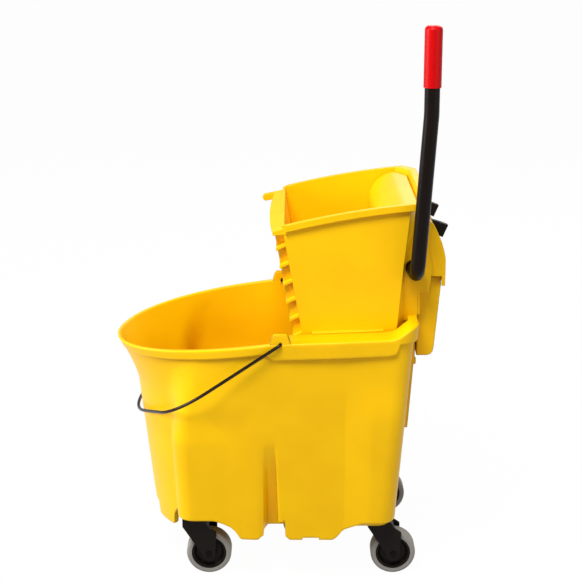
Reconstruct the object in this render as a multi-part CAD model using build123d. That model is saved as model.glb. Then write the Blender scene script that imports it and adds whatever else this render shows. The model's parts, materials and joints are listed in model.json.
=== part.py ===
"""Mop bucket on four swivel casters, with a lift-off side-press wringer.

Millimetres. +Z is up and the floor is z = 0. +X is the rear, where the wringer hangs, and the
pouring nose of the bucket is at -X. The near side, with the lever, is -Y. The origin is under the
middle of the outer box.
"""

from build123d import *
from math import atan2, cos, degrees, hypot, pi, radians, sin, sqrt, tan
import os

# Bucket: plan, walls and rim
NOSE_TIP_X = -279.5          # outermost point of the rolled rim
REAR_RIM_X = 226.5           # rear face of the rolled rim
RIM_HALF_WIDTH = 205.5       # half width over the rolled rim
SIDE_START_X = -29.5         # the long walls start here, behind the rounded nose
RIM_OVERHANG = 6.0           # the rolled rim stands this far out of the wall
WALL = 4.5
FOOT_Z = 73.0                # flat feet of the skirt
FLARE_Z = 312.0              # the nose flares out above this height
FLARE_POWER = 1.4            # the flare curves out faster towards the rim
FOOT_NOSE_X = -217.0
FLARE_NOSE_X = -243.5
NOSE_OVERHANG = 1.0          # the rolled rim fades out at the tip of the nose
FOOT_TAPER = 38.5            # the foot is narrower than the rim by this much on each side
FOOT_REAR_X = 194.5
REAR_CORNER_R = 28.0
NOSE_RIM_Z = 394.0           # height of the rim at the nose
KNEE_X = -12.0               # the rim's slope changes here, below the bail ears
KNEE_Z = 430.0
DECK_REAR_X = 186.0          # the deck ends and the rear corners rise
DECK_REAR_Z = 438.0
CORNER_X = 211.0
CORNER_Z = 458.0
NOSE_BAND = 16.0             # height of the rolled rim in front
DECK_BAND = 28.0             # height of the rolled rim beside the deck
DECK_THICK = 5.0
DECK_FRONT_X = 8.0
SADDLE_Z = 446.0             # the rear rim is cut down to this height, where the wringer hooks on
FLOOR_Z = 87.0               # underside of the floor
FLOOR_THICK = 5.0
SKIRT_THICK = 9.0
GRIP_STEP = 8.0              # the foot grip is set back by this much
GRIP_STEP_Z = 108.0
GRIP_ROUND = 22.0            # rounding of the foot grip's lower front edge
REAR_PAD_OUT = 11.0          # raised pad on the rear wall, which the wringer's skirt leans against
REAR_PAD_HALF_WIDTH = 104.0
REAR_PAD_LOW_Z = 252.0
REAR_PAD_TOP_Z = 377.0
REAR_LEDGE_X = 230.0         # thicker top of the pad
REAR_LEDGE_TALL = 12.0
REAR_WEB_X = 228.0           # the wall between the pad and the rim
REAR_WEB_TOP_Z = 427.0

# Wave channel in each long wall, and the openings in the skirt
CHANNEL_X0 = -23.5
CHANNEL_X1 = -2.0
CHANNEL_DEPTH = 30.0
CHANNEL_TOP_Z = 252.0
SKIRT_GAP_X0 = -23.5
SKIRT_GAP_X1 = 11.0
NOTCH_X0 = 41.0
NOTCH_X1 = 66.0
NOTCH_HEIGHT = 3.5

# Bail
EAR_X = 4.5
EAR_Z = 431.0
EAR_TOP_WIDTH = 24.0
EAR_BASE_WIDTH = 44.0
EAR_TOP_Z = 446.0
BAIL_WIRE_D = 5.4
BAIL_REACH = 302.0
BAIL_REST_DEG = 34.0         # the bail hangs this far below level
BAIL_GAP = 2.5               # wire to rolled rim
BAIL_SLANT_DEG = 30.0        # the two slanted runs of the bail
BAIL_CORNER_R = 113.0
BAIL_NOSE_R = 168.0
BAIL_END = 7.0               # wire end inside the wall

# Casters
FRONT_STEM_X = -142.5
REAR_STEM_X = 171.5
STEM_INSET = 41.0            # from the foot of the long wall to the stem
TRAIL = 24.0
WHEEL_D = 76.2
WHEEL_WIDTH = 32.0
HUB_D = 59.0
HUB_WIDTH = 28.0
AXLE_D = 8.0
STEM_D = 11.0
STEM_IN_SOCKET = 46.0
SOCKET_WALL = 4.0
SEAT_Z = 107.0               # underside of the caster columns
FORK_TOP_Z = 104.0
FORK_CROWN = 15.0
FORK_FRONT = 20.0            # ahead of the stem
FORK_SHOULDER = 14.0         # the top slopes down from here, behind the stem
FORK_HEEL = 4.0              # to here, behind the axle
FORK_SLOPE = 20.0            # drop of that slope
FORK_HEEL_DROP = 6.0         # further drop to the back
FORK_BACK = 13.0             # behind the axle
FORK_FOOT_R = 11.0
FORK_LEG = 5.5
FORK_SIDE_GAP = 1.5
SWIVEL_COLLAR = 2.5
FRONT_COLUMN_X = -168.0      # front face of the front columns at the foot
FRONT_COLUMN_LEAN = 9.0      # the front face leans forward by this much up to the top
FRONT_COLUMN_END_X = -40.0   # the front columns run out into the long walls here
FRONT_COLUMN_INSET = 3.5     # side face to the line of the long wall
FRONT_COLUMN_R = 28.0
FRONT_COLUMN_TOP_Z = 262.0   # the column leans back into the nose above this height
FRONT_COLUMN_FADE_Z = 390.0
FRONT_COLUMN_FADE = 28.0     # how far it has gone back at its very top
REAR_COLUMN_X = 110.0        # the rear columns start to swell here
REAR_COLUMN_PEAK_X = 152.0
REAR_COLUMN_OUT = 6.0        # swell at the foot, none at the top
REAR_COLUMN_TOP_Z = 364.0
SWEEP_MARGIN = 4.0
RIVET_D = 11.0
RIVET_THICK = 2.0

# Wringer basket
BASKET_BOTTOM_Z = 395.0
BASKET_TOP_HALF = 160.0      # half width at the rim, at the height below
BASKET_TOP_Z = 630.0
BASKET_LOW_HALF = 150.0      # half width where it passes the deck
BASKET_LOW_Z = 433.0
BASKET_WALL = 4.0
FRONT_RIB_TOP_X = -2.5       # foremost edge of the top shelf rib
FRONT_RIB_TOP_Z = 574.5
FRONT_RIB_LOW_X = 24.5
FRONT_RIB_LOW_Z = 425.0
RIB_COUNT = 6
RIB_THICK = 5.0
RIB_DEPTH = 16.5
RIB_RISE = 8.0               # the ribs slope down to the front by this much
WINDOW_COLUMNS = 8
WINDOW_WIDTH = 22.0
WINDOW_HEIGHT = 18.0
RIB_END_Y = 138.0            # plates that close the ends of the gaps between the ribs
RIB_END_THICK = 4.0
RIB_END_BACK = 2.0           # set back from the ribs' front edges
BASKET_REAR_X = 207.0        # rear wall, upright up to the bend above the shaft
BASKET_BEND_Z = 552.0
BASKET_REAR_TOP_X = 229.0    # it leans back to this above the bend
BASKET_CORNER = 14.0         # depth of the slanted rear corners at the deck
BASKET_BEND_CORNER = 4.0     # at the bend
BASKET_TOP_CORNER = 18.0     # at the rim
LIP_X = 12.5                 # inner edge of the front lip
LIP_Z = 610.0
LIP_NOSE_X = -14.6           # middle of the lip's bowed front edge
LIP_CORNER_X = -7.5          # its two ends
LIP_DROP = 8.0               # the lip slopes down to the front
LIP_THICK = 5.0
REAR_RIM_TOP_X = 239.5
REAR_RIM_TOP_Z = 650.0
RIM_ARCH = 9.0
FLANGE_OUT = 7.0
FLANGE_TALL = 11.0
GEAR_WINDOW_TOP_Z = 606.0
DRAIN_D = 14.0
DRAIN_ROWS = 4
DRAIN_COLUMNS = 6
SEAT_FLANGE = 7.5            # ledge that carries the wringer on the deck
SEAT_FLANGE_THICK = 2.0
OPENING_GAP = 4.0            # basket to the edge of the deck
SEAT_GAP = 0.3
HORN_X = -29.5
HORN_Z = 595.0
HORN_THICK = 9.0
HORN_R = 6.0                 # round end of the hook

# Gears: the shaft, the hinge of the press plate and the meshing teeth
SHAFT_X = 222.0
SHAFT_Z = 536.0
SHAFT_D = 18.0
HINGE_X = 203.0
SECTOR_TEETH = 30            # on a full circle
RACK_TEETH = 100             # on a full circle
MODULE = 3.4
ADDENDUM = 2.6
SECTOR_DEDENDUM = 3.2
RACK_DEDENDUM = 3.4
TOOTH_SHARE = 0.42           # of the pitch
TOOTH_SLOPE_DEG = 18.0
SECTOR_THICK = 14.0
SECTOR_HUB_D = 28.0
HANDLE_SWING_DEG = 42.0      # the racks run out of teeth beyond this
RACK_Y = 78.0
RACK_THICK = 12.0
RACK_OUTER_R = 195.0
RACK_FRONT_DEG = -5.5        # from vertical, rearwards positive
RACK_END_DEG = 23.2
RACK_SLOT_GAP = 2.5
PIN_D = 5.0
PIN_SINK = 11.0

# Press plate
PLATE_X = 161.5              # front face
PLATE_BOTTOM_Z = 411.0
PLATE_BEND_Z = 585.0
PLATE_CREST_X = 207.5
PLATE_CREST_Z = 643.0
PLATE_THICK = 5.0
PLATE_SIDE_GAP = 2.5
PLATE_REAR_GAP = 3.5
HINGE_ROD_D = 8.0
KNUCKLE_D = 13.0
KNUCKLE_END_GAP = 9.0

# Cheeks, hood and rear skirt of the wringer
CHEEK_Y = 123.0
CHEEK_THICK = 5.0
CHEEK_REACH = 30.0           # behind the shaft axis
CHEEK_LOW_Z = 494.0
CHEEK_FOOT_X = 229.0         # a narrower foot stands on the rear rim
CHEEK_SIDE_GAP = 0.5         # foot to the raised rim corners
BUSH_WALL = 2.5
BUSH_FLANGE_D = 28.0
BUSH_FLANGE_THICK = 3.0
HOOD_TOP_X = 249.5
HOOD_TOP_Z = 611.0
HOOD_REAR_X = 274.0
HOOD_REAR_Z = 548.0
HOOD_LIP_Z = 504.0
HOOD_SIDE_Z = 520.0
HOOD_WALL = 3.0
HOOD_BOW = 3.0               # the hood's back bows out by this much
HOOD_GAP = 0.5               # hood to cheeks
SKIRT_HALF_WIDTH = 106.0
SKIRT_FRONT_X = 230.5
SKIRT_TOP_REAR_X = 265.5
SKIRT_LOW_REAR_X = 254.5
SKIRT_BOTTOM_Z = 381.0
SKIRT_TOP_Z = 517.0
SKIRT_WALL = 4.0
SKIRT_CORNER_R = 14.0
SADDLE_THICK = 8.0
SCREW_D = 5.0
SCREW_HEAD_D = 9.5
SCREW_HEAD = 2.5
SCREW_LENGTH = 12.0
SCREW_HEIGHTS = (564.0, 584.0)

# Lever
LEVER_Y = -182.0
LEVER_D = 24.0
LEVER_ELBOW_R = 24.0
LEVER_KNEE_X = 238.5         # the lever turns upright here
LEVER_KNEE_Z = 795.0
LEVER_KNEE_R = 200.0
LEVER_TOP_Z = 931.0
GRIP_LENGTH = 94.0
GRIP_D = 27.8
GRIP_END = 6.0               # closed end of the grip
LEVER_SOCKET = 26.0          # the shaft reaches this far into the lever
LEVER_INNER_Y = -131.0
RETAINER_D = 27.0
RETAINER_THICK = 4.0

# Fits
RUNNING = 0.05               # radial clearance of a turning pin
SEATED = 0.02                # radial clearance of a fixed pin
FAR = 1000.0                 # longer than anything here

# Worked-out sizes
FOOT_HALF_WIDTH = RIM_HALF_WIDTH - FOOT_TAPER
STEM_Y = FOOT_HALF_WIDTH - STEM_INSET
SECTOR_R = MODULE * SECTOR_TEETH / 2
RACK_R = MODULE * RACK_TEETH / 2
MESH_DISTANCE = RACK_R - SECTOR_R
HINGE_Z = SHAFT_Z - sqrt(MESH_DISTANCE ** 2 - (SHAFT_X - HINGE_X) ** 2)
MESH_DEG = degrees(atan2(SHAFT_X - HINGE_X, SHAFT_Z - HINGE_Z))
PITCH = pi * MODULE
STEMS = {
    "front_near": (FRONT_STEM_X, -STEM_Y),
    "front_far": (FRONT_STEM_X, STEM_Y),
    "rear_near": (REAR_STEM_X, -STEM_Y),
    "rear_far": (REAR_STEM_X, STEM_Y),
}


def between(x_low, x_high, y_low, y_high, z_low, z_high):
    """Box between two corners."""
    middle = ((x_low + x_high) / 2, (y_low + y_high) / 2, (z_low + z_high) / 2)
    return Pos(*middle) * Box(x_high - x_low, y_high - y_low, z_high - z_low)


def round_y(x, z, radius, y_low, y_high):
    """Cylinder along Y."""
    middle = Pos(x, (y_low + y_high) / 2, z)
    return middle * Rot(90, 0, 0) * Cylinder(radius, y_high - y_low)


def round_x(y, z, radius, x_low, x_high):
    """Cylinder along X."""
    middle = Pos((x_low + x_high) / 2, y, z)
    return middle * Rot(0, 90, 0) * Cylinder(radius, x_high - x_low)


def round_z(x, y, radius, z_low, z_high):
    """Upright cylinder."""
    return Pos(x, y, (z_low + z_high) / 2) * Cylinder(radius, z_high - z_low)


def prism_y(edges, y_low, y_high):
    """Solid of a closed X-Z outline from y_low to y_high. The outline is drawn at y = 0."""
    solid = extrude(make_face(edges), (y_high - y_low) / 2, dir=(0, 1, 0), both=True)
    return Pos(0, (y_low + y_high) / 2, 0) * solid


def outline_xz(*points):
    """Closed outline of straight runs through (x, z) points."""
    return Polyline(*[(x, 0, z) for x, z in points], close=True).edges()


def mirrored_pair(solid):
    """The solid and its mirror image across the middle plane."""
    return [solid, mirror(solid, about=Plane.XZ)]


def save(name, shape):
    """Write one node."""
    export_step(shape, f"parts/{name}.step")


# Bucket

def along(z, low, high):
    """Value at height z on the line through two (height, value) points."""
    share = (z - low[0]) / (high[0] - low[0])
    return low[1] + share * (high[1] - low[1])


def nose_x(z):
    """Outer face of the nose at height z."""
    if z <= FLARE_Z:
        return along(z, (FOOT_Z, FOOT_NOSE_X), (FLARE_Z, FLARE_NOSE_X))
    share = (z - FLARE_Z) / (NOSE_RIM_Z - FLARE_Z)
    return FLARE_NOSE_X + share ** FLARE_POWER * (NOSE_TIP_X + NOSE_OVERHANG - FLARE_NOSE_X)


def rear_x(z):
    """Outer face of the rear wall at height z."""
    return along(z, (FOOT_Z, FOOT_REAR_X), (DECK_REAR_Z, REAR_RIM_X - RIM_OVERHANG))


def half_width(z):
    """Outer half width of the long walls at height z."""
    return along(z, (FOOT_Z, FOOT_HALF_WIDTH), (KNEE_Z, RIM_HALF_WIDTH - RIM_OVERHANG))


def bucket_plan(z, grow, nose_grow):
    """Plan of the bucket at height z, moved outwards by grow, and by nose_grow at the nose."""
    half = half_width(z) + grow
    rear = rear_x(z) + grow
    corner = REAR_CORNER_R + grow
    nose = SIDE_START_X - nose_x(z) + nose_grow
    turn = rear - corner
    middle = (SIDE_START_X, 0, 0)
    edges = [
        EllipticalCenterArc(middle, nose, half, 180, arc_size=90),
        Line((SIDE_START_X, -half), (turn, -half)),
        CenterArc((turn, corner - half), corner, 270, 90),
        Line((rear, corner - half), (rear, half - corner)),
        CenterArc((turn, half - corner), corner, 0, 90),
        Line((turn, half), (SIDE_START_X, half)),
        EllipticalCenterArc(middle, nose, half, 90, arc_size=90),
    ]
    return Pos(0, 0, z) * make_face(edges)


def bucket_body(z_low, grow, nose_grow):
    """Filled bucket form from z_low to above the rim."""
    top = CORNER_Z + 2 * DECK_BAND
    heights = [z_low, (z_low + FLARE_Z) / 2, FLARE_Z, (FLARE_Z + NOSE_RIM_Z) / 2, NOSE_RIM_Z, top]
    return loft([bucket_plan(z, grow, nose_grow) for z in heights])


def rim_line(drop):
    """Height of the rim along X, lowered by drop, as one open line in the middle plane."""
    slope = (KNEE_Z - NOSE_RIM_Z) / (KNEE_X - NOSE_TIP_X)
    far_front = NOSE_TIP_X - 4 * RIM_OVERHANG
    points = [
        (far_front, NOSE_RIM_Z + slope * (far_front - NOSE_TIP_X)),
        (KNEE_X, KNEE_Z),
        (DECK_REAR_X, DECK_REAR_Z),
        (CORNER_X, CORNER_Z),
        (REAR_RIM_X + 4 * RIM_OVERHANG, CORNER_Z),
    ]
    radii = [5 * DECK_BAND, DECK_BAND / 2, DECK_BAND / 2]
    return FilletPolyline(*[(x, 0, z - drop) for x, z in points], radius=radii)


def below_rim(drop):
    """Everything below the rim line lowered by drop."""
    line = rim_line(drop)
    first = line @ 0
    last = line @ 1
    base = Polyline((last.X, 0, last.Z), (last.X, 0, -FAR), (first.X, 0, -FAR), (first.X, 0, first.Z))
    return prism_y(line.edges() + base.edges(), -FAR, FAR)


def deck_opening():
    """Space inside the deck's edge: the open nose and the hole for the wringer."""
    half = basket_half(KNEE_Z) + OPENING_GAP
    rear = HINGE_X + KNUCKLE_D / 2 + OPENING_GAP / 2
    nose = between(-FAR, DECK_FRONT_X, -FAR, FAR, 0, FAR)
    hole = between(-FAR, rear, -half, half, 0, FAR)
    return nose + hole


def wave_channel(grow):
    """Wedge cut into the near long wall, deepest at the foot."""
    foot_z = FOOT_Z - FLOOR_THICK
    inner = FOOT_HALF_WIDTH - CHANNEL_DEPTH - grow
    top_y = half_width(CHANNEL_TOP_Z) + grow / 4
    outer = half_width(CHANNEL_TOP_Z) + CHANNEL_DEPTH
    points = [(inner, foot_z), (outer, foot_z), (outer, CHANNEL_TOP_Z + grow), (top_y, CHANNEL_TOP_Z + grow)]
    outline = Polyline(*[(CHANNEL_X0 - grow, -y, z) for y, z in points], close=True)
    return extrude(make_face(outline.edges()), CHANNEL_X1 - CHANNEL_X0 + 2 * grow, dir=(1, 0, 0))


def sweep_radius():
    """Radius that a swivelling wheel needs around its stem."""
    return TRAIL + WHEEL_D / 2 + SWEEP_MARGIN


def caster_room(stem, grow):
    """Space around one caster below its seat, wider at the foot."""
    x, y = stem
    depth = SEAT_Z - FOOT_Z
    low = sweep_radius() + 2 * SWEEP_MARGIN + grow
    cone = Cone(low, sweep_radius() + grow, depth + grow + SWEEP_MARGIN)
    return Pos(x, y, SEAT_Z + grow - (depth + grow + SWEEP_MARGIN) / 2) * cone


def front_column(inset):
    """Boxy column over the near front caster, whose top leans back into the nose."""
    radius = FRONT_COLUMN_R - inset

    def plan(z, back):
        front = FRONT_COLUMN_X + back + inset
        side = FRONT_COLUMN_INSET - half_width(z) + max(back, 0) + inset
        turn = (front + radius, side + radius)
        corner = CenterArc(turn, radius, 180, 90)
        rest = Polyline(
            (turn[0], side), (FRONT_COLUMN_END_X, side), (FRONT_COLUMN_END_X, 0), (front, 0), (front, turn[1])
        )
        return Pos(0, 0, z) * make_face(corner.edges() + rest.edges())

    low = FLOOR_Z + FLOOR_THICK if inset else FOOT_Z
    bend = plan(FRONT_COLUMN_TOP_Z, -FRONT_COLUMN_LEAN)
    return loft([plan(low, 0), bend, plan(FRONT_COLUMN_FADE_Z, FRONT_COLUMN_FADE)], ruled=True)


def rear_column():
    """Soft swelling of the near wall over the rear caster, which fades out upwards."""
    def plan(z, swell):
        wall = WALL / 2 - half_width(z)
        peak = -half_width(z) - swell
        rear = rear_x(z)
        turn = rear - REAR_CORNER_R
        bend = ThreePointArc(
            (REAR_COLUMN_PEAK_X, peak),
            (turn + REAR_CORNER_R * sin(radians(45)), peak + REAR_CORNER_R * (1 - cos(radians(45)))),
            (rear, peak + REAR_CORNER_R),
        )
        rest = Polyline(
            (rear, peak + REAR_CORNER_R), (REAR_COLUMN_X, peak + REAR_CORNER_R), (REAR_COLUMN_X, wall),
            (REAR_COLUMN_PEAK_X, peak),
        )
        return Pos(0, 0, z) * make_face(bend.edges() + rest.edges())

    return loft([plan(FOOT_Z, REAR_COLUMN_OUT), plan(REAR_COLUMN_TOP_Z, -WALL / 3)], ruled=True)


def rear_pad(inset):
    """Raised pad on the rear wall with a thicker top."""
    low, top = REAR_PAD_LOW_Z + inset, REAR_WEB_TOP_Z - inset
    ledge = REAR_PAD_TOP_Z - REAR_LEDGE_TALL + inset
    inside = WALL + inset
    points = [
        (rear_x(low) - inside, low),
        (rear_x(low) + REAR_PAD_OUT - inset, low),
        (rear_x(ledge) + REAR_PAD_OUT - inset, ledge),
        (REAR_LEDGE_X - inset, ledge),
        (REAR_LEDGE_X - inset, REAR_PAD_TOP_Z - inset),
        (REAR_WEB_X - inset, REAR_PAD_TOP_Z - inset),
        (REAR_WEB_X - inset, top),
        (rear_x(top) - inside, top),
    ]
    half = REAR_PAD_HALF_WIDTH - inset
    return prism_y(outline_xz(*points), -half, half)


def foot_grip_cut(grow):
    """What is cut off below the nose, grown by a wall: a step back and a rounded lower edge."""
    front = nose_x(GRIP_STEP_Z) + GRIP_STEP + grow
    bottom = FOOT_Z + grow
    top = GRIP_STEP_Z + GRIP_STEP + grow
    bend = ThreePointArc(
        (front, 0, bottom + GRIP_ROUND),
        (front + GRIP_ROUND * (1 - cos(radians(45))), 0, bottom + GRIP_ROUND * (1 - sin(radians(45)))),
        (front + GRIP_ROUND, 0, bottom),
    )
    rest = Polyline(
        (front + GRIP_ROUND, 0, bottom), (FRONT_STEM_X, 0, bottom), (FRONT_STEM_X, 0, 0), (-FAR, 0, 0),
        (-FAR, 0, top), (front - GRIP_STEP, 0, top), (front, 0, top - GRIP_STEP),
        (front, 0, bottom + GRIP_ROUND),
    )
    return prism_y(bend.edges() + rest.edges(), -FAR, FAR)


def socket_hole(stem):
    """Blind hole for one caster socket."""
    x, y = stem
    radius = STEM_D / 2 + SOCKET_WALL + SEATED
    return round_z(x, y, radius, SEAT_Z - 1, SEAT_Z + STEM_IN_SOCKET + SOCKET_WALL)


def socket_boss(stem):
    """Thick wall around one socket hole."""
    x, y = stem
    radius = STEM_D / 2 + 2 * SOCKET_WALL
    return round_z(x, y, radius, SEAT_Z, SEAT_Z + STEM_IN_SOCKET + 2 * SOCKET_WALL)


def bail_ear():
    """Lug above the near rim, for the bail's end."""
    low = EAR_Z - DECK_BAND / 2
    points = [
        (EAR_X - EAR_BASE_WIDTH / 2, low),
        (EAR_X + EAR_BASE_WIDTH / 2, low),
        (EAR_X + EAR_TOP_WIDTH / 2, EAR_TOP_Z),
        (EAR_X - EAR_TOP_WIDTH / 2, EAR_TOP_Z),
    ]
    return prism_y(outline_xz(*points), -RIM_HALF_WIDTH, -RIM_HALF_WIDTH + RIM_OVERHANG + WALL)


def make_bucket():
    """The bucket moulding."""
    stems = list(STEMS.values())
    rooms = [caster_room(stem, 0) for stem in stems]
    channels = mirrored_pair(wave_channel(0))

    filled = bucket_body(FOOT_Z, 0, 0)
    filled += mirrored_pair(front_column(0)) + mirrored_pair(rear_column()) + [rear_pad(0)]
    nose_band = below_rim(0) - below_rim(NOSE_BAND)
    deck_band = below_rim(0) - below_rim(DECK_BAND)
    nose_side = between(-FAR, EAR_X - EAR_BASE_WIDTH / 2, -FAR, FAR, 0, FAR)
    rim = bucket_body(FLARE_Z - 2 * DECK_BAND, RIM_OVERHANG, NOSE_OVERHANG)
    filled += (rim & nose_band & nose_side) + ((rim & deck_band) - nose_side)

    cavity = bucket_body(FLOOR_Z + FLOOR_THICK, -WALL, -WALL)
    cavity += mirrored_pair(front_column(WALL)) + [rear_pad(WALL)]
    cavity -= [caster_room(stem, FLOOR_THICK) for stem in stems]
    cavity -= [socket_boss(stem) for stem in stems]
    cavity -= mirrored_pair(wave_channel(WALL)) + [foot_grip_cut(WALL)]

    deck = bucket_body(FLARE_Z, -WALL / 2, -WALL / 2) & (below_rim(0) - below_rim(DECK_THICK))
    deck -= deck_opening()
    shell = (filled - cavity) & below_rim(0)
    shell += deck

    pocket = bucket_body(FOOT_Z - FLOOR_THICK, -SKIRT_THICK, -SKIRT_THICK)
    pocket &= between(-FAR, FAR, -FAR, FAR, 0, FLOOR_Z)
    shell -= pocket
    shell -= rooms + channels
    shell -= foot_grip_cut(0)
    shell -= between(SKIRT_GAP_X0, SKIRT_GAP_X1, -FAR, FAR, 0, FLOOR_Z)
    shell -= between(NOTCH_X0, NOTCH_X1, -FAR, FAR, 0, FOOT_Z + NOTCH_HEIGHT)
    saddle_half = CHEEK_Y + CHEEK_SIDE_GAP
    shell -= between(CORNER_X, FAR, -saddle_half, saddle_half, SADDLE_Z, FAR)
    shell -= [socket_hole(stem) for stem in stems]
    shell += mirrored_pair(bail_ear())
    shell -= round_y(EAR_X, EAR_Z, BAIL_WIRE_D / 2 + RUNNING, -FAR, FAR)
    return shell


def make_socket(stem):
    """Sleeve in a caster column."""
    x, y = stem
    radius = STEM_D / 2
    sleeve = round_z(x, y, radius + SOCKET_WALL, SEAT_Z, SEAT_Z + STEM_IN_SOCKET)
    return sleeve - round_z(x, y, radius + RUNNING, SEAT_Z - 1, SEAT_Z + STEM_IN_SOCKET + 1)


def make_bail():
    """Bent wire, drawn in its own plane and then swung down to rest on the nose."""
    side = RIM_HALF_WIDTH + BAIL_GAP + BAIL_WIRE_D / 2
    slant = radians(BAIL_SLANT_DEG)
    peak = BAIL_REACH + BAIL_NOSE_R * (1 / cos(slant) - 1)
    corner = peak - side * tan(slant)
    inside = RIM_HALF_WIDTH - RIM_OVERHANG - WALL - BAIL_END
    points = [(0, -inside), (0, -side), (-corner, -side), (-peak, 0), (-corner, side), (0, side), (0, inside)]
    hook = side - RIM_HALF_WIDTH - SEAT_GAP
    radii = [hook, BAIL_CORNER_R, BAIL_NOSE_R, BAIL_CORNER_R, hook]
    path = FilletPolyline(*[(x, y, 0) for x, y in points], radius=radii)
    start = Plane(origin=path @ 0, z_dir=path % 0)
    wire = sweep(start * Circle(BAIL_WIRE_D / 2), path=path)
    return Pos(EAR_X, 0, EAR_Z) * Rot(0, -BAIL_REST_DEG, 0) * wire


# Casters

def make_stem(stem):
    """Steel stem of one caster."""
    x, y = stem
    return round_z(x, y, STEM_D / 2, FORK_TOP_Z - FORK_CROWN, SEAT_Z + STEM_IN_SOCKET)


def make_fork(stem):
    """Crown and two legs around one wheel, which trails behind the stem."""
    x, y = stem
    axle_x = x + TRAIL
    axle_z = WHEEL_D / 2
    crown_z = FORK_TOP_Z - FORK_CROWN
    inner = WHEEL_WIDTH / 2 + FORK_SIDE_GAP
    outer = inner + FORK_LEG
    leg_points = [
        (x - FORK_FRONT, FORK_TOP_Z),
        (x + FORK_SHOULDER, FORK_TOP_Z),
        (axle_x + FORK_HEEL, FORK_TOP_Z - FORK_SLOPE),
        (axle_x + FORK_BACK, FORK_TOP_Z - FORK_SLOPE - FORK_HEEL_DROP),
        (axle_x + FORK_BACK, crown_z - FORK_CROWN),
        (axle_x + FORK_FOOT_R, axle_z),
        (axle_x - FORK_FOOT_R, axle_z),
        (x - FORK_FRONT, crown_z),
    ]
    body = prism_y(outline_xz(*leg_points), y - outer, y + outer)
    body += round_y(axle_x, axle_z, FORK_FOOT_R, y - outer, y + outer)
    body -= between(-FAR, FAR, y - inner, y + inner, -FAR, crown_z)
    body += round_z(x, y, STEM_D / 2 + 2 * SOCKET_WALL, FORK_TOP_Z, FORK_TOP_Z + SWIVEL_COLLAR)
    body -= round_z(x, y, STEM_D / 2 + SEATED, 0, FAR)
    return body - round_y(axle_x, axle_z, AXLE_D / 2 + SEATED, -FAR, FAR)


def make_axle(stem):
    """Riveted axle pin of one wheel."""
    x, y = stem
    outer = WHEEL_WIDTH / 2 + FORK_SIDE_GAP + FORK_LEG
    place = (x + TRAIL, WHEEL_D / 2)
    pin = round_y(*place, AXLE_D / 2, y - outer, y + outer)
    pin += round_y(*place, RIVET_D / 2, y - outer - RIVET_THICK, y - outer)
    return pin + round_y(*place, RIVET_D / 2, y + outer, y + outer + RIVET_THICK)


def wheel_ring(stem, points):
    """Turned ring around one wheel's axis, from (radius, offset along Y) points."""
    x, y = stem
    outline = Polyline(*[(r, offset, 0) for r, offset in points], close=True)
    ring = revolve(make_face(outline.edges()), Axis.Y)
    return Pos(x + TRAIL, y, WHEEL_D / 2) * ring


def make_hub(stem):
    """Dished wheel centre."""
    rim = HUB_D / 2
    half = HUB_WIDTH / 2
    bore = AXLE_D / 2 + RUNNING
    boss = AXLE_D * 1.1
    lip = rim - SOCKET_WALL
    dish = half * 0.55
    points = [
        (bore, -half), (boss, -half), (boss + dish / 2, -dish), (lip - dish / 2, -dish), (lip, -half),
        (rim, -half), (rim, half),
        (lip, half), (lip - dish / 2, dish), (boss + dish / 2, dish), (boss, half), (bore, half),
    ]
    return wheel_ring(stem, points)


def make_tyre(stem):
    """Non-marking tyre with rounded shoulders."""
    inner = HUB_D / 2 + SEATED
    tread = WHEEL_D / 2
    half = WHEEL_WIDTH / 2
    band = tread - inner
    points = [(inner, -half), (tread, -half), (tread, half), (inner, half)]
    ring = wheel_ring(stem, points)
    shoulders = ring.edges().filter_by(GeomType.CIRCLE).group_by(SortBy.RADIUS)[-1]
    return fillet(shoulders, 0.6 * band)


# Wringer basket

def basket_half(z):
    """Outer half width of the basket at height z."""
    return along(z, (BASKET_LOW_Z, BASKET_LOW_HALF), (BASKET_TOP_Z, BASKET_TOP_HALF))


def rib_x(z):
    """Foremost edge of the shelf ribs at height z."""
    return along(z, (FRONT_RIB_LOW_Z, FRONT_RIB_LOW_X), (FRONT_RIB_TOP_Z, FRONT_RIB_TOP_X))


def basket_rear(z):
    """Rear wall of the basket at height z."""
    return max(BASKET_REAR_X, along(z, (BASKET_BEND_Z, BASKET_REAR_X), (BASKET_TOP_Z, BASKET_REAR_TOP_X)))


def basket_corner(z):
    """Depth of the slanted rear corner at height z."""
    if z < BASKET_BEND_Z:
        return along(z, (BASKET_LOW_Z, BASKET_CORNER), (BASKET_BEND_Z, BASKET_BEND_CORNER))
    return along(z, (BASKET_BEND_Z, BASKET_BEND_CORNER), (BASKET_TOP_Z, BASKET_TOP_CORNER))


def basket_plan(z, grow):
    """Plan of the basket at height z, moved outwards by grow."""
    front = rib_x(z) + RIB_DEPTH - grow
    rear = basket_rear(z) + grow
    half = basket_half(z) + grow
    turn = rear - basket_corner(z)
    back = CHEEK_Y + grow
    points = [(front, -half), (turn, -half), (rear, -back), (rear, back), (turn, half), (front, half)]
    return Pos(0, 0, z) * make_face(Polyline(*points, close=True).edges())


def basket_body(z_low, z_high, grow):
    """Filled basket form between two heights."""
    bend = [BASKET_BEND_Z] if z_low < BASKET_BEND_Z < z_high else []
    return loft([basket_plan(z, grow) for z in (z_low, *bend, z_high)], ruled=True)


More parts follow.
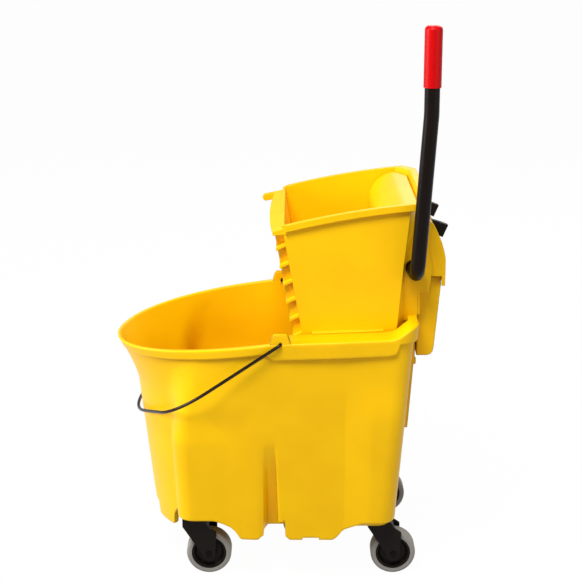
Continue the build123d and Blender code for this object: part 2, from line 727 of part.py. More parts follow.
def below_basket_rim(drop):
    """Everything below the arched rim line of the basket, lowered by drop."""
    front_x = LIP_NOSE_X - 4 * FLANGE_OUT
    rise = (REAR_RIM_TOP_Z - LIP_Z) / (REAR_RIM_TOP_X - LIP_X)
    rear_end = REAR_RIM_TOP_X + 4 * FLANGE_OUT
    front_z = LIP_Z - rise * (LIP_X - front_x) - drop
    rear_z = REAR_RIM_TOP_Z + rise * (rear_end - REAR_RIM_TOP_X) - drop
    middle = ((front_x + rear_end) / 2, 0, (front_z + rear_z) / 2 + RIM_ARCH)
    arch = ThreePointArc((front_x, 0, front_z), middle, (rear_end, 0, rear_z))
    base = Polyline((rear_end, 0, rear_z), (rear_end, 0, 0), (front_x, 0, 0), (front_x, 0, front_z))
    return prism_y(arch.edges() + base.edges(), -FAR, FAR)


def rib_heights():
    """Heights of the shelf ribs."""
    pitch = (FRONT_RIB_TOP_Z - FRONT_RIB_LOW_Z) / (RIB_COUNT - 1)
    return [FRONT_RIB_LOW_Z + pitch * k for k in range(RIB_COUNT)]


def shelf_rib(z):
    """Rib across the front wall, sloping down to its front edge at height z."""
    front = rib_x(z)
    root = front + RIB_DEPTH + BASKET_WALL / 2
    rise = RIB_RISE * (root - front) / RIB_DEPTH
    points = [
        (front, z - RIB_THICK / 2),
        (front, z + RIB_THICK / 2),
        (root, z + RIB_THICK / 2 + rise),
        (root, z - RIB_THICK / 2 + rise),
    ]
    half = basket_half(z)
    return prism_y(outline_xz(*points), -half, half)


def rib_end():
    """Plate that closes the near ends of the gaps between the ribs."""
    low, top = FRONT_RIB_LOW_Z, LIP_Z - LIP_DROP - LIP_THICK
    points = [
        (rib_x(low) + RIB_END_BACK, low),
        (rib_x(top) + RIB_END_BACK, top),
        (rib_x(top) + RIB_DEPTH + BASKET_WALL / 2, top),
        (rib_x(low) + RIB_DEPTH + BASKET_WALL / 2, low),
    ]
    return prism_y(outline_xz(*points), -RIB_END_Y - RIB_END_THICK, -RIB_END_Y)


def front_lip():
    """Sloping shelf above the ribs, with a bowed front edge."""
    half = basket_half(LIP_Z)
    back = LIP_X + BASKET_WALL
    bow = ThreePointArc((LIP_CORNER_X, -half, 0), (LIP_NOSE_X, 0, 0), (LIP_CORNER_X, half, 0))
    rest = Polyline((LIP_CORNER_X, half, 0), (back, half, 0), (back, -half, 0), (LIP_CORNER_X, -half, 0))
    plan = extrude(make_face(bow.edges() + rest.edges()), FAR, dir=(0, 0, 1))
    points = [
        (LIP_NOSE_X, LIP_Z - LIP_DROP - LIP_THICK),
        (LIP_NOSE_X, LIP_Z - LIP_DROP),
        (LIP_X, LIP_Z),
        (back, LIP_Z),
        (back, LIP_Z - 2 * LIP_THICK),
    ]
    return plan & prism_y(outline_xz(*points), -FAR, FAR)


def pouring_horn():
    """Small hook on the far front corner, with a round end."""
    root_x = LIP_X + HORN_THICK
    tip_x = HORN_X + HORN_R
    tip = ThreePointArc((tip_x, 0, HORN_Z + HORN_R), (HORN_X, 0, HORN_Z), (tip_x, 0, HORN_Z - HORN_R))
    rest = Polyline(
        (tip_x, 0, HORN_Z - HORN_R),
        (LIP_CORNER_X, 0, HORN_Z - HORN_R / 2),
        (root_x, 0, LIP_Z - 2 * HORN_THICK),
        (root_x, 0, LIP_Z),
        (tip_x, 0, HORN_Z + HORN_R),
    )
    half = basket_half(LIP_Z)
    return prism_y(tip.edges() + rest.edges(), half - BASKET_WALL, half + FLANGE_OUT)


def front_windows():
    """Square drain windows between the shelf ribs."""
    heights = rib_heights()
    pitch_y = 2 * basket_half(BASKET_LOW_Z) / (WINDOW_COLUMNS + 0.5)
    windows = []
    for low, high in zip(heights, heights[1:]):
        middle = (low + high) / 2
        front = rib_x(middle)
        for column in range(WINDOW_COLUMNS):
            y = (column - (WINDOW_COLUMNS - 1) / 2) * pitch_y
            place = Pos(front + RIB_DEPTH, y, middle)
            windows.append(place * Box(4 * BASKET_WALL, WINDOW_WIDTH, WINDOW_HEIGHT))
    return windows


def floor_drains():
    """Round drain holes in the basket's floor."""
    front = rib_x(BASKET_BOTTOM_Z) + RIB_DEPTH
    pitch_x = (PLATE_X - front) / (DRAIN_ROWS + 0.5)
    pitch_y = 2 * basket_half(BASKET_BOTTOM_Z) / (DRAIN_COLUMNS + 0.5)
    drains = []
    for row in range(DRAIN_ROWS):
        for column in range(DRAIN_COLUMNS):
            x = front + (row + 0.75) * pitch_x
            y = (column - (DRAIN_COLUMNS - 1) / 2) * pitch_y
            drains.append(round_z(x, y, DRAIN_D / 2, 0, BASKET_LOW_Z))
    return drains


def rack_ring(y, gap):
    """Ring swept by a rack around the hinge, widened by gap."""
    half = RACK_THICK / 2 + gap
    inner_r = RACK_R - ADDENDUM - gap
    ring = round_y(HINGE_X, HINGE_Z, RACK_OUTER_R + gap, y - half, y + half)
    ring -= round_y(HINGE_X, HINGE_Z, inner_r, y - half, y + half)
    return ring & between(PLATE_X, FAR, -FAR, FAR, SHAFT_Z, FAR)


def cheek(y_low, y_high):
    """Bearing wall behind the basket."""
    base_x = BASKET_REAR_X - BASKET_WALL / 2
    tip = SHAFT_X + CHEEK_REACH
    points = [
        (base_x, SADDLE_Z + SEAT_GAP),
        (CHEEK_FOOT_X, SADDLE_Z + SEAT_GAP),
        (CHEEK_FOOT_X, CHEEK_LOW_Z),
        (tip - CHEEK_THICK, CHEEK_LOW_Z),
        (tip, SHAFT_Z),
        (tip - CHEEK_REACH / 2, GEAR_WINDOW_TOP_Z),
        (base_x, GEAR_WINDOW_TOP_Z),
    ]
    return prism_y(outline_xz(*points), y_low, y_high)


def gear_window():
    """Opening in the basket's rear wall, between the cheeks, for the gears."""
    half = CHEEK_Y - CHEEK_THICK
    low = SHAFT_Z - BUSH_FLANGE_D / 2 - OPENING_GAP
    front = basket_rear(low) - 2 * BASKET_WALL
    return between(front, basket_rear(GEAR_WINDOW_TOP_Z) + 1, -half, half, low, GEAR_WINDOW_TOP_Z)


def bush_hole():
    """Holes for the shaft bushings through both cheeks."""
    return round_y(SHAFT_X, SHAFT_Z, SHAFT_D / 2 + BUSH_WALL + SEATED, -FAR, FAR)


def seat_flange():
    """Ledges along both sides that rest on the deck."""
    low = below_rim(-SEAT_GAP)
    slab = below_rim(-SEAT_GAP - SEAT_FLANGE_THICK) - low
    front = rib_x(BASKET_LOW_Z) + 2 * RIB_DEPTH
    slab &= between(front, DECK_REAR_X - DECK_BAND / 2, -FAR, FAR, 0, FAR)
    grown = basket_body(BASKET_BOTTOM_Z, BASKET_TOP_Z, SEAT_FLANGE)
    return (slab & grown) - basket_body(BASKET_BOTTOM_Z, BASKET_TOP_Z, -BASKET_WALL / 2)


def make_basket():
    """The wringer's main moulding."""
    top = REAR_RIM_TOP_Z + 2 * FLANGE_TALL
    outer = basket_body(BASKET_BOTTOM_Z, top, 0)
    inner = basket_body(BASKET_BOTTOM_Z + BASKET_WALL, top, -BASKET_WALL)
    flange = basket_body(GEAR_WINDOW_TOP_Z - 2 * FLANGE_TALL, top, FLANGE_OUT)
    flange &= below_basket_rim(0) - below_basket_rim(FLANGE_TALL)
    flange &= between(LIP_X, FAR, -FAR, FAR, 0, FAR)

    ribs = [shelf_rib(z) for z in rib_heights()]

    body = outer + ribs + front_lip() + flange + pouring_horn()
    body &= below_basket_rim(0)
    body += seat_flange()
    body += mirrored_pair(cheek(-CHEEK_Y, -CHEEK_Y + CHEEK_THICK)) + mirrored_pair(rib_end())
    body -= inner
    body -= gear_window()
    half = basket_half(HINGE_Z)
    barrel = half - KNUCKLE_END_GAP
    body -= round_y(HINGE_X, HINGE_Z, KNUCKLE_D / 2 + OPENING_GAP / 4, -barrel, barrel)
    body += mirrored_pair(round_y(HINGE_X, HINGE_Z, KNUCKLE_D / 2, BASKET_WALL / 2 - half, -barrel))
    body -= front_windows() + floor_drains()
    body -= [rack_ring(y, RACK_SLOT_GAP) for y in (-RACK_Y, RACK_Y)]
    body -= round_y(HINGE_X, HINGE_Z, HINGE_ROD_D / 2 + SEATED, -FAR, FAR)
    return body - bush_hole()


def make_hood():
    """Curved cover over the gears, open below and towards the basket."""
    half = CHEEK_Y - CHEEK_THICK - HOOD_GAP
    front = basket_rear(HOOD_SIDE_Z) + SEATED
    top = GEAR_WINDOW_TOP_Z - SEATED

    def filled(inset, half_width_here):
        low = HOOD_LIP_Z - inset
        bow_x = (HOOD_TOP_X + HOOD_REAR_X) / 2 + HOOD_BOW - inset
        bow_z = (HOOD_TOP_Z + HOOD_REAR_Z) / 2 + HOOD_BOW
        bend = ThreePointArc(
            (HOOD_TOP_X - inset, 0, HOOD_TOP_Z - inset),
            (bow_x, 0, bow_z),
            (HOOD_REAR_X - inset, 0, HOOD_REAR_Z),
        )
        rest = Polyline(
            (HOOD_REAR_X - inset, 0, HOOD_REAR_Z),
            (HOOD_REAR_X - inset, 0, low),
            (front - inset, 0, low),
            (front - inset, 0, top - HOOD_WALL - inset),
            (front + HOOD_WALL, 0, top - inset),
            (HOOD_TOP_X - inset, 0, HOOD_TOP_Z - inset),
        )
        return prism_y(bend.edges() + rest.edges(), -half_width_here, half_width_here)

    hood = filled(0, half) - filled(HOOD_WALL, half - HOOD_WALL)
    hood -= basket_body(top, REAR_RIM_TOP_Z, SEATED)
    hood -= between(-FAR, HOOD_REAR_X - 2 * HOOD_WALL, -FAR, FAR, 0, HOOD_SIDE_Z)
    hood -= [rack_ring(y, RACK_SLOT_GAP) for y in (-RACK_Y, RACK_Y)]
    return hood - bush_hole()


def make_skirt():
    """Hollow box that hangs behind the bucket's rear rim, with the saddle that hooks over it."""
    def filled(inset):
        low_rear = SKIRT_LOW_REAR_X - inset
        points = [
            (SKIRT_FRONT_X + inset, SKIRT_BOTTOM_Z - inset),
            (low_rear - SKIRT_CORNER_R, SKIRT_BOTTOM_Z - inset),
            (low_rear, SKIRT_BOTTOM_Z + SKIRT_CORNER_R),
            (SKIRT_TOP_REAR_X - inset, SKIRT_TOP_Z - inset),
            (SKIRT_FRONT_X + inset, SKIRT_TOP_Z - inset),
        ]
        half = SKIRT_HALF_WIDTH - inset
        return prism_y(outline_xz(*points), -half, half)

    saddle_top = SADDLE_Z + SEAT_GAP + SADDLE_THICK
    saddle = between(
        basket_rear(saddle_top) + SEATED, SKIRT_FRONT_X + SKIRT_WALL, -SKIRT_HALF_WIDTH, SKIRT_HALF_WIDTH,
        SADDLE_Z + SEAT_GAP, saddle_top,
    )
    return filled(0) - filled(SKIRT_WALL) + saddle


# Handle, gears and press plate

def polar(center, radius, angle_deg):
    """Point (x, 0, z) at an angle from vertical, rearwards positive."""
    x, z = center
    angle = radians(angle_deg)
    return (x + radius * sin(angle), 0, z + radius * cos(angle))


def tooth(center, radius, angle_deg, tip_r, root_r):
    """Trapezoid tooth outline on a pitch circle, from inside its root to its tip."""
    def half_angle(r):
        at_pitch = TOOTH_SHARE * PITCH / 2
        thinner = abs(r - radius) * tan(radians(TOOTH_SLOPE_DEG))
        towards_tip = (r - radius) * (tip_r - root_r) > 0
        return degrees((at_pitch - thinner if towards_tip else at_pitch + thinner) / r)

    corners = []
    for r, side in ((root_r, -1), (tip_r, -1), (tip_r, 1), (root_r, 1)):
        corners.append(polar(center, r, angle_deg + side * half_angle(r)))
    return Polyline(*corners, close=True).edges()


def pie(center, radius, from_deg, to_deg, y_low, y_high):
    """Slice of a disc along Y between two angles."""
    middle = (from_deg + to_deg) / 2
    bow = ThreePointArc(*[polar(center, radius, a) for a in (from_deg, middle, to_deg)])
    x, z = center
    sides = Polyline(polar(center, radius, to_deg), (x, 0, z), polar(center, radius, from_deg))
    return prism_y(bow.edges() + sides.edges(), y_low, y_high)


def make_sector(y):
    """Gear sector keyed to the drive shaft."""
    center = (SHAFT_X, SHAFT_Z)
    low, high = y - SECTOR_THICK / 2, y + SECTOR_THICK / 2
    step = 360 / SECTOR_TEETH
    count = int(HANDLE_SWING_DEG / step) + 2
    root_r = SECTOR_R - SECTOR_DEDENDUM
    first = MESH_DEG - 0.6 * step
    body = pie(center, root_r, first, MESH_DEG + (count - 0.4) * step, low, high)
    body += round_y(*center, SECTOR_HUB_D / 2, low, high)
    for k in range(count):
        outline = tooth(center, SECTOR_R, MESH_DEG + k * step, SECTOR_R + ADDENDUM, root_r - 1)
        body += prism_y(outline, low, high)
    body -= round_y(*center, SHAFT_D / 2 + SEATED, low - 1, high + 1)
    return body - sector_pin(y, SEATED)


def sector_pin(y, gap):
    """Cross pin through a sector's hub and the shaft."""
    half = SECTOR_HUB_D / 2
    return round_x(y, SHAFT_Z, PIN_D / 2 + gap, SHAFT_X - half, SHAFT_X + half)


def make_rack(y):
    """Curved rack with teeth on its underside."""
    center = (HINGE_X, HINGE_Z)
    low, high = y - RACK_THICK / 2, y + RACK_THICK / 2
    step = 360 / RACK_TEETH
    root_r = RACK_R + RACK_DEDENDUM
    ring = pie(center, RACK_OUTER_R, RACK_FRONT_DEG, RACK_END_DEG, low, high)
    ring -= round_y(*center, root_r, low - 1, high + 1)
    first = int((RACK_FRONT_DEG - MESH_DEG) / step)
    last = int((RACK_END_DEG - MESH_DEG) / step)
    for k in range(first, last):
        outline = tooth(center, RACK_R, MESH_DEG + (k + 0.5) * step, RACK_R - ADDENDUM, root_r + 1)
        ring += prism_y(outline, low, high)
    return ring - rack_pins(y, SEATED)


def rack_pins(y, gap):
    """Two pins that fix one rack to its boss on the plate."""
    center = (HINGE_X, HINGE_Z)
    angle = radians(RACK_FRONT_DEG)
    body_r = RACK_OUTER_R - RACK_R - RACK_DEDENDUM
    pins = []
    for share in (0.3, 0.75):
        x, _, z = polar(center, RACK_R + RACK_DEDENDUM + share * body_r, RACK_FRONT_DEG)
        axis = Plane(origin=(x, y, z), z_dir=(cos(angle), 0, -sin(angle)))
        pins.append(axis * Cylinder(PIN_D / 2 + gap, 2 * (PIN_SINK + gap)))
    return pins


def plate_front():
    """Front profile of the press plate: upright face, then a rounded shoulder to the rear."""
    rear_end = basket_rear(PLATE_CREST_Z) - BASKET_WALL - PLATE_REAR_GAP
    face = Line((PLATE_X, 0, PLATE_BOTTOM_Z), (PLATE_X, 0, PLATE_BEND_Z))
    chord = (PLATE_CREST_X - PLATE_X, PLATE_CREST_Z - PLATE_BEND_Z)
    bulge = 0.22 * hypot(*chord)
    middle = (
        (PLATE_X + PLATE_CREST_X) / 2 - bulge * chord[1] / hypot(*chord),
        0,
        (PLATE_BEND_Z + PLATE_CREST_Z) / 2 + bulge * chord[0] / hypot(*chord),
    )
    shoulder = ThreePointArc((PLATE_X, 0, PLATE_BEND_Z), middle, (PLATE_CREST_X, 0, PLATE_CREST_Z))
    top = Line((PLATE_CREST_X, 0, PLATE_CREST_Z), (rear_end, 0, PLATE_CREST_Z))
    return face.edges() + shoulder.edges() + top.edges()


def behind_plate():
    """Everything behind the plate's front profile."""
    rear_end = basket_rear(PLATE_CREST_Z) - BASKET_WALL - PLATE_REAR_GAP
    close = Polyline(
        (rear_end, 0, PLATE_CREST_Z), (rear_end, 0, PLATE_BOTTOM_Z), (PLATE_X, 0, PLATE_BOTTOM_Z)
    )
    return prism_y(plate_front() + close.edges(), -FAR, FAR)


def make_plate():
    """Press plate with its hinge barrel and the bosses for the racks."""
    filled = behind_plate()
    sheet = filled - Pos(PLATE_THICK, 0, -PLATE_THICK) * filled
    sheet -= between(HINGE_X, FAR, -FAR, FAR, 0, PLATE_BEND_Z)
    sheet -= between(PLATE_X + PLATE_THICK, FAR, -FAR, FAR, 0, PLATE_BOTTOM_Z + PLATE_THICK)
    web = between(
        PLATE_X, HINGE_X, -FAR, FAR, HINGE_Z - PLATE_THICK / 2, HINGE_Z + PLATE_THICK / 2
    )
    body = sheet + web + round_y(HINGE_X, HINGE_Z, KNUCKLE_D / 2, -FAR, FAR)
    center = (HINGE_X, HINGE_Z)
    for y in (-RACK_Y, RACK_Y):
        low, high = y - RACK_THICK, y + RACK_THICK
        boss = pie(center, RACK_OUTER_R, 3 * RACK_FRONT_DEG, RACK_FRONT_DEG, low, high)
        boss -= round_y(*center, RACK_R - ADDENDUM, low - 1, high + 1)
        body += boss & filled
    room = basket_body(BASKET_BOTTOM_Z, REAR_RIM_TOP_Z, -BASKET_WALL - PLATE_SIDE_GAP)
    body &= room
    end = basket_half(HINGE_Z) - KNUCKLE_END_GAP - PLATE_SIDE_GAP
    keep = between(-FAR, HINGE_X - KNUCKLE_D, -FAR, FAR, 0, FAR)
    keep += between(-FAR, FAR, -FAR, FAR, SHAFT_Z, FAR)
    keep += between(-FAR, FAR, -end, end, 0, FAR)
    body &= keep
    for y in (-RACK_Y, RACK_Y):
        body -= rack_pins(y, SEATED)
    return body - round_y(HINGE_X, HINGE_Z, HINGE_ROD_D / 2 + RUNNING, -FAR, FAR)


def make_hinge_rod():
    """Rod on which the press plate swings."""
    half = basket_half(HINGE_Z)
    return round_y(HINGE_X, HINGE_Z, HINGE_ROD_D / 2, -half, half)


def make_bush():
    """Flanged bushing in the near cheek."""
    sleeve = SHAFT_D / 2 + BUSH_WALL
    body = round_y(SHAFT_X, SHAFT_Z, sleeve, -CHEEK_Y, -CHEEK_Y + CHEEK_THICK + HOOD_GAP + HOOD_WALL)
    body += round_y(SHAFT_X, SHAFT_Z, BUSH_FLANGE_D / 2, -CHEEK_Y - BUSH_FLANGE_THICK, -CHEEK_Y)
    return body - round_y(SHAFT_X, SHAFT_Z, SHAFT_D / 2 + RUNNING, -FAR, FAR)


def lever_pin(gap):
    """Cross pin through the lever and the shaft."""
    y = LEVER_INNER_Y - LEVER_SOCKET / 2
    half = LEVER_D / 2
    return round_x(y, SHAFT_Z, PIN_D / 2 + gap, SHAFT_X - half, SHAFT_X + half)


def make_shaft():
    """Drive shaft that carries both sectors."""
    far_end = CHEEK_Y + BUSH_FLANGE_THICK + SEAT_GAP + 2 * RETAINER_THICK
    shaft = round_y(SHAFT_X, SHAFT_Z, SHAFT_D / 2, LEVER_INNER_Y - LEVER_SOCKET, far_end)
    shaft -= [sector_pin(y, SEATED) for y in (-RACK_Y, RACK_Y)]
    return shaft - lever_pin(SEATED)


def make_retainer():
    """Push-on ring at the far end of the shaft."""
    start = CHEEK_Y + BUSH_FLANGE_THICK + SEAT_GAP
    ring = round_y(SHAFT_X, SHAFT_Z, RETAINER_D / 2, start, start + RETAINER_THICK)
    return ring - round_y(SHAFT_X, SHAFT_Z, SHAFT_D / 2 + SEATED, -FAR, FAR)


def make_lever():
    """Bent lever tube, closed by the grip at its top."""
    points = [
        (SHAFT_X, LEVER_INNER_Y, SHAFT_Z),
        (SHAFT_X, LEVER_Y, SHAFT_Z),
        (LEVER_KNEE_X, LEVER_Y, LEVER_KNEE_Z),
        (LEVER_KNEE_X, LEVER_Y, LEVER_TOP_Z - GRIP_END),
    ]
    path = FilletPolyline(*points, radius=[LEVER_ELBOW_R, LEVER_KNEE_R])
    start = Plane(origin=path @ 0, z_dir=path % 0)
    tube = sweep(start * Circle(LEVER_D / 2), path=path)
    tube -= sweep(start * Circle(SHAFT_D / 2 + SEATED), path=path)
    return tube - lever_pin(SEATED)


def make_grip():
    """Soft grip pushed over the lever's top."""
    low = LEVER_TOP_Z - GRIP_LENGTH
    grip = round_z(LEVER_KNEE_X, LEVER_Y, GRIP_D / 2, low, LEVER_TOP_Z)
    grip = fillet(grip.edges().group_by(Axis.Z)[-1], 0.6 * GRIP_END + GRIP_D / 8)
    bore = round_z(LEVER_KNEE_X, LEVER_Y, LEVER_D / 2 + SEATED, low - 1, LEVER_TOP_Z - GRIP_END)
    return grip - bore


def hood_screw(y, z, gap):
    """Screw that holds the hood to a cheek."""
    x = SHAFT_X + CHEEK_REACH / 3
    head_y = -CHEEK_Y
    screw = round_y(x, z, SCREW_D / 2 + gap, head_y, head_y + SCREW_LENGTH)
    if gap == 0:
        screw += round_y(x, z, SCREW_HEAD_D / 2, head_y - SCREW_HEAD, head_y)
    return screw if y < 0 else mirror(screw, about=Plane.XZ)


def screw_places():
    """Side and height of each hood screw."""
    return [(side, z) for side in (-1, 1) for z in SCREW_HEIGHTS]


def main():
    os.makedirs("parts", exist_ok=True)
    save("bucket_shell", make_bucket())
    save("bail_wire", make_bail())
    for corner, stem in STEMS.items():
        save(f"caster_socket_{corner}", make_socket(stem))
        save(f"caster_stem_{corner}", make_stem(stem))
        save(f"caster_fork_{corner}", make_fork(stem))
        save(f"wheel_axle_{corner}", make_axle(stem))
        save(f"wheel_hub_{corner}", make_hub(stem))
        save(f"wheel_tyre_{corner}", make_tyre(stem))

    holes = [hood_screw(y, z, SEATED) for y, z in screw_places()]
    save("wringer_basket", make_basket() - holes)
    save("rear_hood", make_hood() - holes)
    save("hook_skirt", make_skirt())
    save("hood_screws", Compound([hood_screw(y, z, 0).solid() for y, z in screw_places()]))
    near_bush, far_bush = mirrored_pair(make_bush())
    save("shaft_bush_near", near_bush)
    save("shaft_bush_far", far_bush)
    save("plate_hinge_rod", make_hinge_rod())

    save("drive_shaft", make_shaft())
    save("handle_lever", make_lever())
    save("handle_grip", make_grip())
    save("lever_pin", lever_pin(0))
    save("shaft_retainer", make_retainer())
    save("gear_sector_near", make_sector(-RACK_Y))
    save("gear_sector_far", make_sector(RACK_Y))
    save("sector_pins", Compound([sector_pin(y, 0).solid() for y in (-RACK_Y, RACK_Y)]))

    save("press_plate", make_plate())
    save("rack_near", make_rack(-RACK_Y))
    save("rack_far", make_rack(RACK_Y))
    pins = rack_pins(-RACK_Y, 0) + rack_pins(RACK_Y, 0)
    save("rack_pins", Compound([pin.solid() for pin in pins]))


if __name__ == "__main__":
    main()
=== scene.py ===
# %% [markdown]
# A mop bucket with a side-press wringer: a yellow moulded bucket on four swivel casters, a wire bail,
# and a lift-off wringer whose black lever drives a press plate. The CAD frame is loaded first and is
# never moved.

# %% Load the frame
import json
import math

import bmesh
import bpy
import numpy as np
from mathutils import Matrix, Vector


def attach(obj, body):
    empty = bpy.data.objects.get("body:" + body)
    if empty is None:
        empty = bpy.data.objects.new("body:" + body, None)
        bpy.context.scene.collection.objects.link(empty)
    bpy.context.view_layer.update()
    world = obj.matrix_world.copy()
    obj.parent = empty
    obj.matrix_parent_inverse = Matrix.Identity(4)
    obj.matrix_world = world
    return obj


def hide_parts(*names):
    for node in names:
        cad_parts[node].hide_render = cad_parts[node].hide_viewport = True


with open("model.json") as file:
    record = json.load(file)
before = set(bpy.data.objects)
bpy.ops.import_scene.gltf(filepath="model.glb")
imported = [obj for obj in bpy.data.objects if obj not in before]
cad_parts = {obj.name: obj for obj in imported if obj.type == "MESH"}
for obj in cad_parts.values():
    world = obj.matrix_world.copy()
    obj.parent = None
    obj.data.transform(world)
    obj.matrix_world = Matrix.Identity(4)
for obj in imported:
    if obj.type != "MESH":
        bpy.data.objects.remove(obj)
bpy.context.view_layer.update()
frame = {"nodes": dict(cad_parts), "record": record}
MM = 0.001

# %% [markdown]
# The photograph looks straight at the long side, with the nose to the left, from a little above. A camera
# is described best by what it looks at, how far away it stands, and how far it is raised. The picture is
# nearly square, so Blender's automatic fit measures the lens against the height of 585 pixels.

# %% Camera
AIM = Vector((21.5, 0.0, 460.0)) * MM
CAMERA_RISE = math.radians(15.5)
CAMERA_DISTANCE = 2.5
FOCAL_MM = 89.2
SENSOR_MM = 36.0

camera = bpy.data.objects.new("camera", bpy.data.cameras.new("camera"))
bpy.context.collection.objects.link(camera)
camera.data.lens = FOCAL_MM
camera.data.sensor_width = SENSOR_MM
back = Vector((0.0, -math.cos(CAMERA_RISE), math.sin(CAMERA_RISE)))
camera.location = AIM + back * CAMERA_DISTANCE
camera.rotation_euler = back.to_track_quat("Z", "Y").to_euler()
bpy.context.scene.camera = camera
bpy.context.scene.view_settings.view_transform = "Standard"
print("camera at", [round(v, 3) for v in camera.location])

# %% [markdown]
# Every finish is a small tree of shader nodes. One function adds a node, sets what is plain and links what
# comes from another node. Colours are written as sRGB hex, as a paint chart gives them, and turned into the
# linear values that the shader works in. Patterns are sized in millimetres: the texture space is in metres,
# so a pattern that repeats every so many millimetres has a scale of 1000 over that size. No real pigment is
# perfectly even, so all finishes start from two close tones that a soft cloud pattern mixes.

# %% Helpers for materials
def linear(hex_colour):
    channels = [int(hex_colour[i:i + 2], 16) / 255 for i in (0, 2, 4)]
    return [c / 12.92 if c <= 0.04045 else ((c + 0.055) / 1.055) ** 2.4 for c in channels] + [1.0]


def add_node(tree, kind, inputs=(), **settings):
    made = tree.nodes.new(kind)
    for key, value in settings.items():
        setattr(made, key, value)
    for socket, value in dict(inputs).items():
        if isinstance(value, bpy.types.NodeSocket):
            tree.links.new(value, made.inputs[socket])
        else:
            made.inputs[socket].default_value = value
    return made


def new_material(name):
    material = bpy.data.materials.new(name)
    material.use_nodes = True
    material.node_tree.nodes.clear()
    return material, material.node_tree


def pattern_scale(millimetres):
    return 1000.0 / millimetres


def clouded_pigment(name, cloud_mm, detail, dark, pale):
    material, tree = new_material(name)
    place = add_node(tree, "ShaderNodeTexCoord").outputs["Object"]
    cloud = add_node(tree, "ShaderNodeTexNoise",
                     {"Vector": place, "Scale": pattern_scale(cloud_mm), "Detail": detail})
    pigment = add_node(tree, "ShaderNodeValToRGB", {"Fac": cloud.outputs["Fac"]})
    for stop, tone in zip(pigment.color_ramp.elements, (dark, pale)):
        stop.color = linear(tone)
    return material, place, cloud.outputs["Fac"], pigment


print("hex F5B800 in linear light:", [round(c, 3) for c in linear("F5B800")])

# %% [markdown]
# A product photograph has a white sweep under and behind the object. The floor is a large pale plane. To
# the camera and in reflections it is mostly plain white, and the rest of it is a real surface that takes
# the object's shadow. Its glow is set so that both together come out as white.

# %% White sweep
FLOOR_SIZE = 60.0
FLOOR_OWN_WHITE = 0.955
FLOOR_GLOW = 1.024

half_floor = FLOOR_SIZE / 2
floor_corners = [(-half_floor, -half_floor, 0), (half_floor, -half_floor, 0),
                 (half_floor, half_floor, 0), (-half_floor, half_floor, 0)]
floor_mesh = bpy.data.meshes.new("floor")
floor_mesh.from_pydata(floor_corners, [], [(0, 1, 2, 3)])
floor = bpy.data.objects.new("floor", floor_mesh)
bpy.context.collection.objects.link(floor)

paper, tree = new_material("white_paper_sweep")
path = add_node(tree, "ShaderNodeLightPath")
seen = add_node(tree, "ShaderNodeMath",
                {0: path.outputs["Is Camera Ray"], 1: path.outputs["Is Glossy Ray"]}, operation="MAXIMUM")
seen = add_node(tree, "ShaderNodeMath",
                {0: seen.outputs[0], 1: path.outputs["Is Transmission Ray"]}, operation="MAXIMUM")
share = add_node(tree, "ShaderNodeMath", {0: seen.outputs[0], 1: FLOOR_OWN_WHITE}, operation="MULTIPLY")
diffuse = add_node(tree, "ShaderNodeBsdfDiffuse", {"Color": linear("A0A0A0")})
white = add_node(tree, "ShaderNodeEmission", {"Color": linear("FFFFFF"), "Strength": FLOOR_GLOW})
mix = add_node(tree, "ShaderNodeMixShader",
               {0: share.outputs[0], 1: diffuse.outputs[0], 2: white.outputs[0]})
add_node(tree, "ShaderNodeOutputMaterial", {"Surface": mix.outputs[0]})
floor_mesh.materials.append(paper)
print("floor of", FLOOR_SIZE, "m is down")

# %% [markdown]
# The object is lit by a weak even room light and by four soft boxes: one high in front, which also reaches
# into the bucket, one low on the left for the round nose, a weak wide one from the right, and one from
# behind for the far side. The camera sees plain white where the floor ends.

# %% Room light and soft boxes
ROOM_LIGHT = 0.28
SOFT_BOXES = {
    "front_top": {"at": (-0.5, -1.7, 2.9), "size": 1.2, "watts": 95.0},
    "side_left": {"at": (-2.9, -0.4, 1.2), "size": 1.2, "watts": 74.0},
    "fill_right": {"at": (2.5, -2.0, 1.4), "size": 2.0, "watts": 21.0},
    "back": {"at": (0.9, 2.6, 2.4), "size": 1.8, "watts": 45.0},
}

world = bpy.data.worlds.new("studio")
bpy.context.scene.world = world
world.use_nodes = True
tree = world.node_tree
tree.nodes.clear()
path = add_node(tree, "ShaderNodeLightPath")
seen = add_node(tree, "ShaderNodeMath",
                {0: path.outputs["Is Camera Ray"], 1: path.outputs["Is Transmission Ray"]},
                operation="MAXIMUM")
room = add_node(tree, "ShaderNodeBackground", {"Color": linear("FFFFFF"), "Strength": ROOM_LIGHT})
sweep = add_node(tree, "ShaderNodeBackground", {"Color": linear("FFFFFF"), "Strength": 1.0})
mix = add_node(tree, "ShaderNodeMixShader", {0: seen.outputs[0], 1: room.outputs[0], 2: sweep.outputs[0]})
add_node(tree, "ShaderNodeOutputWorld", {"Surface": mix.outputs[0]})

for name, box in SOFT_BOXES.items():
    lamp = bpy.data.objects.new(name, bpy.data.lights.new(name, "AREA"))
    bpy.context.collection.objects.link(lamp)
    lamp.data.shape = "SQUARE"
    lamp.data.size = box["size"]
    lamp.data.energy = box["watts"]
    lamp.location = box["at"]
    lamp.rotation_euler = (lamp.location - AIM).to_track_quat("Z", "Y").to_euler()
print("soft boxes", list(SOFT_BOXES))

# %% [markdown]
# The bucket, the wringer and the press plate are moulded polypropylene: a waxy, slightly glossy plastic
# whose mould was spark-eroded, which leaves a fine even grain. The pigment is not perfectly even. The grain
# is under a millimetre on the real wall and is drawn at two millimetres so that it shows at all. A bevel
# node softens the look of the solids' edges, as a mould's small radius does.

# %% Moulded polypropylene
MOULD_RADIUS = 1.6 * MM
PIGMENT_STOPS = (0.35, 0.65)


